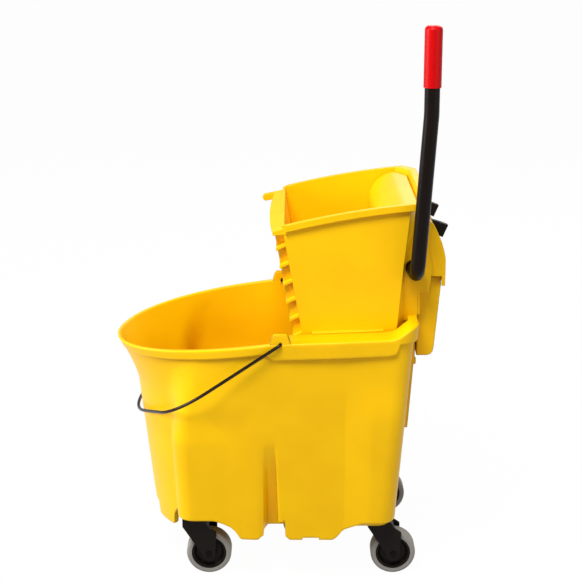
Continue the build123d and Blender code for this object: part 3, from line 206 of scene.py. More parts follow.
def moulded_polypropylene():
    material, place, cloud, pigment = clouded_pigment(
        "moulded_polypropylene_yellow", 90, 3.0, "F4BC00", "F8C200")
    tree = material.node_tree
    for stop, position in zip(pigment.color_ramp.elements, PIGMENT_STOPS):
        stop.position = position
    grain = add_node(tree, "ShaderNodeTexNoise", {"Vector": place, "Scale": pattern_scale(2), "Detail": 2.0})
    soft = add_node(tree, "ShaderNodeBevel", {"Radius": MOULD_RADIUS}, samples=6)
    bump = add_node(tree, "ShaderNodeBump", {
        "Strength": 0.05, "Distance": 0.5 * MM, "Height": grain.outputs["Fac"],
        "Normal": soft.outputs["Normal"]})
    gloss = add_node(tree, "ShaderNodeMapRange", {"Value": cloud, "To Min": 0.33, "To Max": 0.43})
    shader = add_node(tree, "ShaderNodeBsdfPrincipled", {
        "Base Color": pigment.outputs["Color"], "Roughness": gloss.outputs["Result"], "IOR": 1.49,
        "Specular IOR Level": 0.18, "Normal": bump.outputs["Normal"]})
    add_node(tree, "ShaderNodeOutputMaterial", {"Surface": shader.outputs[0]})
    return material


yellow = moulded_polypropylene()
print("made", yellow.name)

# %% [markdown]
# The caster forks, hubs, gears and bushings are moulded black nylon, which is a little duller and browner
# than paint. The lever is a bent steel tube with a black powder coat: its skin has the faint ripple called
# orange peel.

# %% Black nylon and powder coat
def moulded_nylon():
    material, place, _, pigment = clouded_pigment("moulded_nylon_black", 14, 4.0, "0C0704", "150E09")
    tree = material.node_tree
    grain = add_node(tree, "ShaderNodeTexNoise",
                     {"Vector": place, "Scale": pattern_scale(1.5), "Detail": 2.0})
    bump = add_node(tree, "ShaderNodeBump",
                    {"Strength": 0.12, "Distance": 0.4 * MM, "Height": grain.outputs["Fac"]})
    shader = add_node(tree, "ShaderNodeBsdfPrincipled", {
        "Base Color": pigment.outputs["Color"], "Roughness": 0.5, "IOR": 1.53,
        "Specular IOR Level": 0.12, "Normal": bump.outputs["Normal"]})
    add_node(tree, "ShaderNodeOutputMaterial", {"Surface": shader.outputs[0]})
    return material


def powder_coated_tube():
    material, place, _, coat = clouded_pigment("powder_coated_steel_tube", 45, 5.0, "0C0603", "140B07")
    tree = material.node_tree
    peel = add_node(tree, "ShaderNodeTexNoise", {"Vector": place, "Scale": pattern_scale(3), "Detail": 1.0})
    bump = add_node(tree, "ShaderNodeBump",
                    {"Strength": 0.08, "Distance": 0.5 * MM, "Height": peel.outputs["Fac"]})
    shader = add_node(tree, "ShaderNodeBsdfPrincipled", {
        "Base Color": coat.outputs["Color"], "Roughness": 0.32, "IOR": 1.5,
        "Specular IOR Level": 0.1, "Normal": bump.outputs["Normal"]})
    add_node(tree, "ShaderNodeOutputMaterial", {"Surface": shader.outputs[0]})
    return material


nylon = moulded_nylon()
tube_coat = powder_coated_tube()
print("made", nylon.name, "and", tube_coat.name)

# %% [markdown]
# The grip is soft vinyl, dipped on hot, so it is smooth with a slow wave in its skin. The tyres are grey
# thermoplastic rubber, which is matt and takes up dust, so its clouds are small and roughen the surface too.

# %% Vinyl and rubber
def dipped_vinyl():
    material, _, wave, tint = clouded_pigment("dipped_vinyl_red", 16, 2.0, "B80104", "C80206")
    tree = material.node_tree
    bump = add_node(tree, "ShaderNodeBump", {"Strength": 0.1, "Distance": 1.0 * MM, "Height": wave})
    shader = add_node(tree, "ShaderNodeBsdfPrincipled", {
        "Base Color": tint.outputs["Color"], "Roughness": 0.38, "IOR": 1.52,
        "Specular IOR Level": 0.12, "Normal": bump.outputs["Normal"]})
    add_node(tree, "ShaderNodeOutputMaterial", {"Surface": shader.outputs[0]})
    return material


def grey_rubber():
    material, _, dust, tint = clouded_pigment("thermoplastic_rubber_grey", 9, 5.0, "7D7873", "96918B")
    tree = material.node_tree
    bump = add_node(tree, "ShaderNodeBump", {"Strength": 0.15, "Distance": 0.5 * MM, "Height": dust})
    shader = add_node(tree, "ShaderNodeBsdfPrincipled", {
        "Base Color": tint.outputs["Color"], "Roughness": 0.62, "IOR": 1.5, "Normal": bump.outputs["Normal"]})
    add_node(tree, "ShaderNodeOutputMaterial", {"Surface": shader.outputs[0]})
    return material


vinyl = dipped_vinyl()
rubber = grey_rubber()
print("made", vinyl.name, "and", rubber.name)

# %% [markdown]
# The bail is drawn steel wire with a zinc plating that has gone dark and slightly cloudy. The shafts, pins
# and caster stems are brighter plated steel, and the wheel axles are blackened. All three are bare metal to
# the eye, so one function makes them, and the clouds change the gloss as well as the tone.

# %% Zinc and steel
PLATING_SPREAD = (-0.06, 0.08)


def plated_metal(name, dull, bright, roughness, grain_mm):
    material, _, cloud, plating = clouded_pigment(name, grain_mm, 4.0, dull, bright)
    tree = material.node_tree
    gloss = add_node(tree, "ShaderNodeMapRange", {
        "Value": cloud, "To Min": roughness + PLATING_SPREAD[0], "To Max": roughness + PLATING_SPREAD[1]})
    shader = add_node(tree, "ShaderNodeBsdfPrincipled", {
        "Base Color": plating.outputs["Color"], "Roughness": gloss.outputs["Result"], "Metallic": 1.0})
    add_node(tree, "ShaderNodeOutputMaterial", {"Surface": shader.outputs[0]})
    return material


zinc = plated_metal("zinc_plated_wire", "241C17", "443A33", 0.3, 6)
bright_steel = plated_metal("plated_steel", "A5A5A5", "CFCFCF", 0.3, 4)
black_steel = plated_metal("black_oxide_steel", "14100D", "241E1A", 0.45, 3)
print("made", zinc.name, bright_steel.name, "and", black_steel.name)

# %% [markdown]
# Each solid of the frame says in the part's record which finish it has. The shapes stay as they came, and
# only their material is set.

# %% Finishes on the solids
finishes = {
    "yellow_plastic": yellow,
    "black_plastic": nylon,
    "black_tube": tube_coat,
    "red_grip": vinyl,
    "zinc_wire": zinc,
    "steel": bright_steel,
    "black_steel": black_steel,
    "grey_tyre": rubber,
}
slot_of_node = {row["node"]: row["material_slot"] for row in frame["record"]["subparts"]}
for node, solid in frame["nodes"].items():
    solid.data.materials.clear()
    solid.data.materials.append(finishes[slot_of_node[node]])
print("finished", len(slot_of_node), "solids with", len(finishes), "materials")

# %% [markdown]
# The bucket is one big moulding: an oval plan with a round nose and a squarer rear, walls that lean out,
# a turned-out rim, boxy columns over the casters and a skirt that comes down between them. It could be cut
# from solids, but a moulding has soft transitions everywhere, so it is built as a grid instead. Stations
# run round the plan, and at every station a profile runs over the wall, the rim, the inside and the floor.
# Lengths are in millimetres here, and become metres when the mesh is made. First comes how the walls lean.

# %% Bucket walls
FOOT_Z = 73.0
FOOT_HALF_WIDTH = 167.0
FOOT_REAR_X = 194.5
FOOT_NOSE_X = -217.0
SIDE_TOP_Z = 430.0
SIDE_LEAN = 32.5
REAR_TOP_Z = 438.0
REAR_LEAN = 26.0
NOSE_LEAN = 26.5
NOSE_RIM_Z = 394.0
FLARE_Z = 312.0
FLARE_OUT = 35.0
FLARE_POWER = 1.4


def half_width(z):
    return FOOT_HALF_WIDTH + (z - FOOT_Z) / (SIDE_TOP_Z - FOOT_Z) * SIDE_LEAN


def rear_x(z):
    return FOOT_REAR_X + (z - FOOT_Z) / (REAR_TOP_Z - FOOT_Z) * REAR_LEAN


def nose_x(z):
    straight = FOOT_NOSE_X - NOSE_LEAN * (np.minimum(z, FLARE_Z) - FOOT_Z) / (FLARE_Z - FOOT_Z)
    flare = np.maximum(z - FLARE_Z, 0) / (NOSE_RIM_Z - FLARE_Z)
    return straight - FLARE_OUT * flare ** FLARE_POWER


print("bucket's foot is", FOOT_REAR_X - FOOT_NOSE_X, "mm long and", 2 * FOOT_HALF_WIDTH, "mm wide")

# %% [markdown]
# The stations lie close where the wall turns or has an edge, and wider apart where it is plain. A crisp edge
# gets a station on each side of it. Only the near half is laid out, because the far half mirrors it.

# %% Stations round the plan
SIDE_START_X = -29.5
LAST_FIXED_X = 118.0
CHANNEL = (-23.5, -2.0)
CHANNEL_ROUND = 4.0
CHANNEL_ROUND_SHARES = (0.4, 0.7, 1.0)
SKIRT_GAP = (-24.3, 11.3)
SKIRT_NOTCH = (41.0, 68.4)
DECK_FRONT_X = 8.0
COLUMN_CREASE_X = 110.0
EDGE_STEP = 0.5
SIDE_STEP = 4.0
CLOSEST_STEP = 1.2
NOSE_STATIONS = 76
LATE_STATIONS = 12
CORNER_STATIONS = 14
REAR_STATIONS = 26
QUARTER = math.pi / 2

crisp = [*CHANNEL, *SKIRT_GAP, *SKIRT_NOTCH, DECK_FRONT_X, COLUMN_CREASE_X]
fixed = [edge + step for edge in crisp for step in (-EDGE_STEP, EDGE_STEP)]
fixed += [CHANNEL[1] + CHANNEL_ROUND * share for share in CHANNEL_ROUND_SHARES]
fixed += [x for x in np.arange(SIDE_START_X, LAST_FIXED_X, SIDE_STEP)
          if min(abs(x - other) for other in fixed) > CLOSEST_STEP]
fixed = sorted(fixed + [LAST_FIXED_X])
stations = [("nose", angle) for angle in np.linspace(0, QUARTER, NOSE_STATIONS, endpoint=False)]
stations += [("side", x) for x in fixed]
stations += [("late", share) for share in np.linspace(0, 1, LATE_STATIONS)[1:]]
stations += [("corner", angle) for angle in np.linspace(0, QUARTER, CORNER_STATIONS)[1:]]
stations += [("rear", share) for share in np.linspace(0, 1, REAR_STATIONS)[1:]]
kind = np.array([name for name, _ in stations])
place = np.array([value for _, value in stations])
rear_side = (kind == "corner") | (kind == "rear")
print("stations on the near half:", len(stations))

# %% [markdown]
# At any height the plan is half an ellipse at the nose, straight sides, rounded rear corners and a straight
# rear. The function gives a point and an outward direction for every station. Near the channel the stations
# lean with the height, so that the channel's edge is slanted as on the real wall.

# %% Outline at a height
REAR_CORNER_R = 28.0
CHANNEL_TOP_Z = 252.0
CHANNEL_SLANT = 6.2
SLANT_REACH = 9.0
SLANT_END_Z = 312.0
RIM_LEVEL_Z = 400.0
FOOT_LEVEL_Z = 85.0


def everywhere(value):
    return np.full(len(stations), value)


def outline(z):
    half, rear = half_width(z), rear_x(z)
    reach, turn = SIDE_START_X - nose_x(z), rear - REAR_CORNER_R
    wide, zero = half - REAR_CORNER_R, np.zeros_like(z)
    cos, sin = np.cos(place), np.sin(place)
    slope = np.hypot(cos / reach, sin / half)
    slant = CHANNEL_SLANT * (0.5 - np.clip((z - FOOT_Z) / (CHANNEL_TOP_Z - FOOT_Z), 0, 1))
    slant = slant * np.exp(-((place - CHANNEL[1]) / SLANT_REACH) ** 2) * (z < SLANT_END_Z)
    kinds = [kind == name for name in ("nose", "side", "late", "corner", "rear")]
    x = np.select(kinds, [SIDE_START_X - reach * cos, place + slant,
                          LAST_FIXED_X + place * (turn - LAST_FIXED_X), turn + REAR_CORNER_R * sin, rear])
    y = np.select(kinds, [-half * sin, -half, -half, -wide - REAR_CORNER_R * cos, -wide * (1 - place)])
    out_x = np.select(kinds, [-cos / reach / slope, zero, zero, sin, zero + 1])
    out_y = np.select(kinds, [-sin / half / slope, zero - 1, zero - 1, -cos, zero])
    return x, y, out_x, out_y


rim_x, rim_y, rim_out_x, _ = outline(everywhere(RIM_LEVEL_Z))
low_x, low_y, _, _ = outline(everywhere(FOOT_LEVEL_Z))
print("plan at the rim from", round(rim_x.min(), 1), "to", round(rim_x.max(), 1))

# %% [markdown]
# The skirt's lower edge has two pads to stand on, a gap under the channel, a notch, and a lift over each
# caster, so that the fork can swivel under it. It is a line of heights along the wall, and near a caster a
# line of heights by the distance from the stem.

# %% Skirt's edge
STEM_X = (-142.5, 171.5)
STEM_Y = 126.0
SEAT_Z = 107.0
COLUMN_FRONT_X = -168.0
NOSE_FOOT_Z = 72.0
NOSE_ROOM = [(31, SEAT_Z), (41, 97.0), (44.5, 86.5), (46.5, NOSE_FOOT_Z)]
REAR_ROOM = [(66.0, SEAT_Z), (74.0, FOOT_Z)]
GAP_Z = 91.0
GAP_SIDE_Z = 80.5
NOTCH_Z = 77.0
FRONT_SKIRT = [(-104, SEAT_Z), (-91, 101.5), (-78.5, 94.5), (-71.5, 86.5), (-66.5, 78.0), (-63.5, FOOT_Z),
               (-34, FOOT_Z), (-29, 78.5), (SKIRT_GAP[0] - EDGE_STEP, GAP_SIDE_Z)]
GAP_EDGE = [(SKIRT_GAP[0] + EDGE_STEP, GAP_Z), (SKIRT_GAP[1] - EDGE_STEP, GAP_Z)]
REAR_SKIRT = [(SKIRT_GAP[1] + EDGE_STEP, GAP_SIDE_Z), (19, FOOT_Z), (SKIRT_NOTCH[0] - EDGE_STEP, FOOT_Z),
              (SKIRT_NOTCH[0] + EDGE_STEP, NOTCH_Z), (SKIRT_NOTCH[1] - EDGE_STEP, NOTCH_Z),
              (SKIRT_NOTCH[1] + EDGE_STEP, FOOT_Z), (92, FOOT_Z), (99.5, 79.0), (107, 89.5), (113, 94.0),
              (142, SEAT_Z)]


def along(points, x):
    return np.interp(x, *zip(*points))


def stem_distance(x, y):
    return np.min([np.hypot(x - stem, np.abs(y) - STEM_Y) for stem in STEM_X], axis=0)


away = stem_distance(low_x, low_y)
skirt_z = along(FRONT_SKIRT + GAP_EDGE + REAR_SKIRT, low_x)
skirt_z = np.where(low_x < COLUMN_FRONT_X, along(NOSE_ROOM, away), skirt_z)
skirt_z = np.where(rear_side, along(REAR_ROOM, away), skirt_z)
print("skirt's edge from", skirt_z.min(), "to", skirt_z.max())

# %% [markdown]
# The rim runs level along the deck, drops to the nose and steps up at the rear corners. Between these corners
# lies the lowered saddle that the wringer hooks over. A band below the rim is turned out, and it is taller
# along the deck.

# %% Rim's line
REAR_RIM_Z = 458.0
RIM_LINE = [(-279.5, NOSE_RIM_Z), (-12, SIDE_TOP_Z), (186, REAR_TOP_Z), (211, REAR_RIM_Z), (260, REAR_RIM_Z)]
RIM_SOFTEN = 7.0
SOFTEN_STEPS = 9
NOSE_BAND = 16.0
DECK_BAND = 28.0
BAND_STEP_X = (-22.0, -6.0)
SADDLE_Z = 446.0
SADDLE_Y = (119.0, 129.0)


def ease(value, start, end):
    share = np.clip((value - start) / (end - start), 0, 1)
    return share * share * (3 - 2 * share)


shifts = np.linspace(-RIM_SOFTEN, RIM_SOFTEN, SOFTEN_STEPS)
rim_z = np.mean([along(RIM_LINE, rim_x + shift) for shift in shifts], axis=0)
band_z = np.where(rear_side, REAR_RIM_Z, rim_z) - NOSE_BAND
band_z -= (DECK_BAND - NOSE_BAND) * ease(rim_x, *BAND_STEP_X)
saddle = (kind == "rear") * (1 - ease(np.abs(rim_y), *SADDLE_Y))
rim_z = rim_z - saddle * (REAR_RIM_Z - SADDLE_Z)
print("rim from", rim_z.min().round(1), "to", rim_z.max())

# %% [markdown]
# The boxy front column is given as a distance to a rounded box that leans and fades away towards the rim.
# Where the wall's own distance and the box's are merged softly, the wall moves out along its normal. How far
# is found by halving an interval again and again.

# %% Front column
COLUMN_END_X = -40.0
COLUMN_INSET = 3.5
COLUMN_R = 28.0
COLUMN_LEAN = 9.0
COLUMN_BEND_Z = 262.0
COLUMN_FADE = 30.0
COLUMN_FADE_Z = (250.0, 400.0)
COLUMN_FADE_POWER = 1.3
MERGE_LOW = 4.0
MERGE_GROWTH = 22.0
MERGE_GROWTH_Z = (262.0, 330.0)
FARTHEST_OUT = 70.0
HALVINGS = 26
COLUMN_MIDDLE_Z = 150.0


def box_distance(x, y, z):
    risen = np.maximum(z - COLUMN_FADE_Z[0], 0) / (COLUMN_FADE_Z[1] - COLUMN_FADE_Z[0])
    faded = COLUMN_FADE * risen ** COLUMN_FADE_POWER
    lean = COLUMN_LEAN * np.clip((z - FOOT_Z) / (COLUMN_BEND_Z - FOOT_Z), 0, 1)
    front = COLUMN_FRONT_X - lean + faded
    side = half_width(z) - COLUMN_INSET - faded
    across = np.abs(x - (front + COLUMN_END_X) / 2) - (COLUMN_END_X - front) / 2 + COLUMN_R
    along_y = np.abs(y) - side + COLUMN_R
    outside = np.hypot(np.maximum(across, 0), np.maximum(along_y, 0))
    return outside + np.minimum(np.maximum(across, along_y), 0) - COLUMN_R


def column_relief(z):
    x, y, out_x, out_y = outline(z)
    soft = MERGE_LOW + MERGE_GROWTH * ease(z, *MERGE_GROWTH_Z)
    low, high = np.zeros_like(z), np.full_like(z, FARTHEST_OUT)
    for _ in range(HALVINGS):
        middle = (low + high) / 2
        box = box_distance(x + out_x * middle, y + out_y * middle, z)
        share = np.clip(0.5 + 0.5 * (box - middle) / soft, 0, 1)
        merged = box * (1 - share) + middle * share - soft * share * (1 - share)
        low, high = np.where(merged < 0, middle, low), np.where(merged < 0, high, middle)
    return np.where(low_x < SIDE_START_X + EDGE_STEP, low, 0)


print("front column stands out", column_relief(everywhere(COLUMN_MIDDLE_Z)).max().round(1), "mm")

# %% [markdown]
# The wall also swells over the rear casters, and it is pressed in at the channel. The channel gets deeper
# towards the foot, starts softly at the front and ends in a slightly rounded edge.

# %% Wall relief
REAR_SWELL = 7.5
REAR_SWELL_X = (COLUMN_CREASE_X, 152.0)
REAR_SWELL_FADE_Z = (290.0, 368.0)
CHANNEL_DEPTH = 30.0
CHANNEL_START = (CHANNEL[0] - 3.0, CHANNEL[0] + 7.0)
CHANNEL_EDGE_DROP = 1.6
GAP_EDGE_Z = 106.0


def channel_depth(z):
    depth = CHANNEL_DEPTH * np.clip((CHANNEL_TOP_Z - z) / (CHANNEL_TOP_Z - FOOT_Z), 0, 1)
    past_edge = place > CHANNEL[1]
    pressed = ease(place, *CHANNEL_START) * (place < CHANNEL[1])
    under_edge = past_edge & (place < SKIRT_GAP[1]) & (z < GAP_EDGE_Z)
    pressed = np.maximum(pressed, under_edge) * (kind == "side")
    edge = np.clip(1 - (place - CHANNEL[1]) / CHANNEL_ROUND, 0, 1) ** 2 * past_edge * (kind == "side")
    return np.maximum(pressed * depth, np.minimum(edge * CHANNEL_EDGE_DROP, depth))


def rear_swell(z):
    start, peak = REAR_SWELL_X
    swell = np.clip((outline(z)[0] - start) / (peak - start), 0, 1)
    swell = np.where(kind == "corner", np.cos(place) ** 2, np.where(kind == "rear", 0, swell))
    return REAR_SWELL * swell * (1 - ease(z, *REAR_SWELL_FADE_Z))


def wall_relief(z):
    return column_relief(z) + rear_swell(z) - channel_depth(z)


print("channel is pressed in by up to", channel_depth(skirt_z).max().round(1), "mm")

# %% [markdown]
# Now the profile itself, one ring at a time: under the floor, round the skirt's edge, up the outside, over
# the rim and the deck, down the inside, and across the floor. Each ring is a height and an offset from the
# plan for every station. At the nose the lowest part of the wall steps back, which leaves a grip for the hand
# that tips the bucket. Floor rings are shrunk copies of their edge that rise over the casters.

# %% Ring helpers
GRIP_STEP = 9.0
GRIP_STEP_Z = (92.0, 101.0)
GRIP_ROUND = 2.5
PLAN_CENTRE_X = -10.0


def grip_limit(z):
    drop = np.clip(NOSE_FOOT_Z + GRIP_ROUND - z, 0, GRIP_ROUND)
    curl = GRIP_ROUND - np.sqrt(GRIP_ROUND ** 2 - drop ** 2)
    return nose_x(z) + GRIP_STEP * (1 - ease(z, *GRIP_STEP_Z)) + curl


def ring_points(z, offset):
    x, y, out_x, out_y = outline(z)
    return np.stack([x + out_x * offset, y + out_y * offset, z], axis=1)


def wall_ring(z, inset=0.0):
    points = ring_points(z, wall_relief(z) - inset)
    limit = np.where((kind == "nose") & (z < GRIP_STEP_Z[1]), grip_limit(z) + inset, -np.inf)
    points[:, 0] = np.maximum(points[:, 0], limit)
    return points


def floor_ring(edge, share, low_z, high_z, room):
    points = edge.copy()
    points[:, 0] = PLAN_CENTRE_X + (edge[:, 0] - PLAN_CENTRE_X) * share
    points[:, 1] = edge[:, 1] * share
    points[:, 2] = high_z + (low_z - high_z) * ease(stem_distance(points[:, 0], points[:, 1]), *room)
    return points


print("grip steps back by", GRIP_STEP, "mm below", GRIP_STEP_Z[0], "mm")

# %% [markdown]
# The first rings close the bucket from below, turn round the skirt's edge with a small radius and climb the
# outside up to the band. They lie closer together near the foot, where the shape changes most.

# %% Rings below and outside
OUTER_RINGS = 52
OUTER_CROWDING = 1.2
FLOOR_RINGS = 12
UNDER_SHARES = (0.06, 0.97)
UNDER_ROOM = (64.0, 74.0)
FLOOR_UNDER_Z = 87.0
SKIRT_THICK = 9.0
UNDER_STEP = 1.0
EDGE_ROUND = 1.6
EDGE_MIDDLE = 0.35
BAND_GAP = 0.4

inner_skirt_z = np.maximum(skirt_z, FLOOR_UNDER_Z)
under_edge = wall_ring(inner_skirt_z, SKIRT_THICK + UNDER_STEP)
rings = [floor_ring(under_edge, share, FLOOR_UNDER_Z, SEAT_Z, UNDER_ROOM)
         for share in np.linspace(*UNDER_SHARES, FLOOR_RINGS)]
rings.append(under_edge)
rings.append(wall_ring(np.minimum(skirt_z + EDGE_ROUND, inner_skirt_z), SKIRT_THICK))
rings.append(wall_ring(skirt_z, SKIRT_THICK - EDGE_ROUND))
rings.append(wall_ring(skirt_z, EDGE_ROUND))
rings.append(wall_ring(skirt_z + EDGE_ROUND * EDGE_MIDDLE, EDGE_ROUND * EDGE_MIDDLE))
wall_start = skirt_z + EDGE_ROUND
for share in np.linspace(0, 1, OUTER_RINGS) ** OUTER_CROWDING:
    rings.append(wall_ring(wall_start + (band_z - BAND_GAP - wall_start) * share))
print("rings up to the rim's band:", len(rings))

# %% [markdown]
# The band stands out most along the deck's sides and least at the nose's tip. It has a small round at its
# foot and a larger one on top, where it becomes the rim.

# %% Rim's band
RIM_OUT = 6.0
RIM_OUT_NOSE = 1.0
RIM_BEND_X = 96.0
RIM_BEND_REACH = 84.0
RIM_BEND = 2.6
RIM_ROUND = 3.2
ROUND_STEPS = 5
BAND_FOOT = [(0.0, 1.4), (0.5, 0.4), (1.6, 0.0)]
BAND_FIRST_SHARE = 0.15
BAND_STEPS = 5

quarter_turns = np.linspace(0, QUARTER, ROUND_STEPS)[1:]
bend = np.clip(1 - np.abs(rim_x - RIM_BEND_X) / RIM_BEND_REACH, 0, 1) * RIM_BEND * (kind != "nose")
turned_out = RIM_OUT_NOSE + (RIM_OUT - RIM_OUT_NOSE) * (1 - rim_out_x ** 2 * (kind == "nose")) + bend
for rise, back_off in BAND_FOOT:
    rings.append(ring_points(band_z + rise, turned_out - back_off))
band_foot_z = band_z + BAND_FOOT[-1][0]
for share in np.linspace(BAND_FIRST_SHARE, 1, BAND_STEPS):
    rings.append(ring_points(band_foot_z + (rim_z - RIM_ROUND - band_foot_z) * share, turned_out))
for turn in quarter_turns:
    rings.append(ring_points(rim_z - RIM_ROUND * (1 - math.sin(turn)),
                             turned_out - RIM_ROUND * (1 - math.cos(turn))))
print("rings up to the rim's top:", len(rings))

# %% [markdown]
# Behind the bail lugs the rim widens into the deck, which ends at the wringer's opening. In front of them it
# is a plain lip. A row of the deck's edge says how far a ring lies below the rim and outside the opening, and
# then the same for the lip.

# %% Deck and lip
WALL = 4.5
LIP_ROUND = 2.0
DECK_THICK = 5.0
DECK_EDGE = [(0.0, 2.0, 0.3, 1.0), (0.6, 0.6, 0.9, 0.4), (2.0, 0.0, 2.0, 0.0), (DECK_THICK, 0.0, 3.5, 0.0)]
HOLE_HALF_WIDTH = 154.0
HOLE_REAR_X = 211.5

deck = (rim_x > DECK_FRONT_X) | rear_side
wall_in = everywhere(-WALL)


def deck_ring(drop, inset, lip_drop, lip_inset):
    points = ring_points(rim_z - np.where(deck, drop, lip_drop), wall_in + np.where(deck, 0, lip_inset))
    hole_x = np.minimum(points[:, 0], HOLE_REAR_X + inset)
    hole_y = np.maximum(points[:, 1], -HOLE_HALF_WIDTH - inset)
    points[:, 0] = np.where(deck, hole_x, points[:, 0])
    points[:, 1] = np.where(deck, hole_y, points[:, 1])
    return points


rings.append(ring_points(rim_z, np.where(deck, -WALL, LIP_ROUND - WALL)))
rings += [deck_ring(*edge) for edge in DECK_EDGE]
rings.append(ring_points(rim_z - DECK_THICK, wall_in))
print("rings up to the deck's underside:", len(rings))

# %% [markdown]
# The inside follows the outside one wall thickness further in. What is pressed in outside shows inside too,
# and so do the columns, which fade into the floor. A wide radius leads from the wall to the floor.

# %% Inside and floor
INNER_RINGS = 30
INNER_COLUMN_Z = (100.0, 124.0)
FLOOR_TOP_Z = 92.0
FLOOR_ROUND = 14.0
FLOOR_SLOPE = 3.0
FLOOR_SHARES = (0.96, 0.06)
FLOOR_ROOM = (66.0, 80.0)

inner_top_z = rim_z - DECK_THICK
for share in np.linspace(0, 1, INNER_RINGS)[1:]:
    z = inner_top_z + (FLOOR_TOP_Z + FLOOR_ROUND - inner_top_z) * share
    relief = np.where(z < band_z, wall_relief(z), 0)
    relief = np.minimum(relief, 0) + np.maximum(relief, 0) * ease(z, *INNER_COLUMN_Z)
    rings.append(ring_points(z, wall_in + relief))
for turn in quarter_turns:
    z = everywhere(FLOOR_TOP_Z) + FLOOR_ROUND * (1 - math.sin(turn))
    inset = FLOOR_ROUND * (1 - math.cos(turn)) + FLOOR_SLOPE * math.sin(turn)
    rings.append(ring_points(z, wall_in + np.minimum(wall_relief(z), 0) - inset))
floor_edge = rings[-1]
rings += [floor_ring(floor_edge, share, FLOOR_TOP_Z, SEAT_Z + DECK_THICK, FLOOR_ROOM)
          for share in np.linspace(*FLOOR_SHARES, FLOOR_RINGS)]
print("rings in all:", len(rings))

# %% [markdown]
# A mesh is made of points and of faces that name them. Neighbouring rings are joined by quads, doubled
# points are merged, and edges that turn sharply stay sharp while all others are shaded smooth. Each piece
# rides on a body of the frame, so that it moves with the joints, and says which material slot it takes.

# %% Mesh helpers
MERGE_DISTANCE = 0.05 * MM
SHARP_EDGE = math.radians(38.0)


def yellow_piece(name, vertices, faces, body):
    mesh = bpy.data.meshes.new(name)
    mesh.from_pydata([tuple(v) for v in np.asarray(vertices) * MM], [], faces)
    shaped = bmesh.new()
    shaped.from_mesh(mesh)
    bmesh.ops.remove_doubles(shaped, verts=shaped.verts, dist=MERGE_DISTANCE)
    bmesh.ops.recalc_face_normals(shaped, faces=shaped.faces)
    shaped.to_mesh(mesh)
    shaped.free()
    mesh.shade_smooth()
    mesh.set_sharp_from_angle(angle=SHARP_EDGE)
    mesh.materials.append(yellow)
    piece = bpy.data.objects.new(name, mesh)
    bpy.context.collection.objects.link(piece)
    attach(piece, body)
    return piece


def tube_of_rings(ring_list):
    count = len(ring_list[0])
    faces = []
    for r in range(len(ring_list) - 1):
        for i in range(count):
            j = (i + 1) % count
            faces.append((r * count + i, r * count + j, (r + 1) * count + j, (r + 1) * count + i))
    return np.concatenate(ring_list), faces, count


def mirrored(points):
    far = points[-2:0:-1].copy()
    far[:, 1] *= -1
    return np.concatenate([points, far])


print("edges over", round(math.degrees(SHARP_EDGE)), "degrees stay sharp")

# %% [markdown]
# The bucket's grid is closed with a fan of triangles at the middle of the underside and of the floor. The
# finished moulding stands in for the plain solid of the bucket.

# %% Bucket mesh
vertices, faces, around = tube_of_rings([mirrored(ring) for ring in rings])
centres = [[PLAN_CENTRE_X, 0, FLOOR_UNDER_Z], [PLAN_CENTRE_X, 0, FLOOR_TOP_Z]]
first_centre = len(vertices)
last_ring = first_centre - around
vertices = np.concatenate([vertices, centres])
faces += [((i + 1) % around, i, first_centre) for i in range(around)]
faces += [(last_ring + i, last_ring + (i + 1) % around, first_centre + 1) for i in range(around)]
bucket = yellow_piece("bucket_moulding", vertices, faces, "bucket")
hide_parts("bucket_shell")
print("bucket mesh has", len(bucket.data.polygons), "faces")

# %% [markdown]
# Smaller mouldings start as outlines in the side view. Each corner is cut back along both of its sides and
# bridged by an arc. A short side limits the cut, so that two arcs never meet. An outline can also be shrunk,
# by moving each point against the direction that points out of it.

# %% Rounded outlines
CORNER_STEPS = 5
LONGEST_CUT = 0.45


def rounded_outline(points, radius):
    corners = []
    for i, point in enumerate(points):
        here = Vector(point)
        behind, ahead = Vector(points[i - 1]) - here, Vector(points[(i + 1) % len(points)]) - here
        half = behind.angle(ahead) / 2
        cut = min(radius / math.tan(half), LONGEST_CUT * min(behind.length, ahead.length))
        bow = cut * math.tan(half)
        centre = here + (behind.normalized() + ahead.normalized()).normalized() * (bow / math.sin(half))
        start = here + behind.normalized() * cut - centre
        end = here + ahead.normalized() * cut - centre
        corners += [centre + start.lerp(end, k / (CORNER_STEPS - 1)).normalized() * bow
                    for k in range(CORNER_STEPS)]
    return np.array([tuple(c) for c in corners])


def shrink_outline(points, inset):
    run = np.roll(points, -1, axis=0) - np.roll(points, 1, axis=0)
    out = np.stack([run[:, 1], -run[:, 0]], axis=1) / np.linalg.norm(run, axis=1)[:, None]
    return points - out * inset


print("a rounded corner has", CORNER_STEPS, "points")

# %% [markdown]
# An outline is pushed along the width, with a small hollow curve from each face to the slightly slimmer body.
# Round pieces are turned instead, like a pot on a wheel. Both are rings again, closed by a cap at either end.

# %% Pushed and turned shapes
FACE_STEPS = 4
TURN_STEPS = 40

face_turns = np.linspace(QUARTER, 0, FACE_STEPS)


def capped(ring_list):
    vertices, faces, count = tube_of_rings(ring_list)
    last = len(vertices) - count
    return vertices, faces + [tuple(range(count)), tuple(range(last, last + count))]


def pushed(name, points, y_range, corner, edge, body):
    plan = rounded_outline(points, corner)
    first_y, last_y = sorted(y_range)
    levels = [(first_y + edge * (1 - math.sin(turn)), edge * math.cos(turn)) for turn in face_turns]
    levels += [(last_y - edge * (1 - math.sin(turn)), edge * math.cos(turn)) for turn in face_turns[::-1]]
    ring_list = []
    for y, inset in levels:
        flat = shrink_outline(plan, inset)
        ring_list.append(np.stack([flat[:, 0], np.full(len(flat), y), flat[:, 1]], axis=1))
    return yellow_piece(name, *capped(ring_list), body)


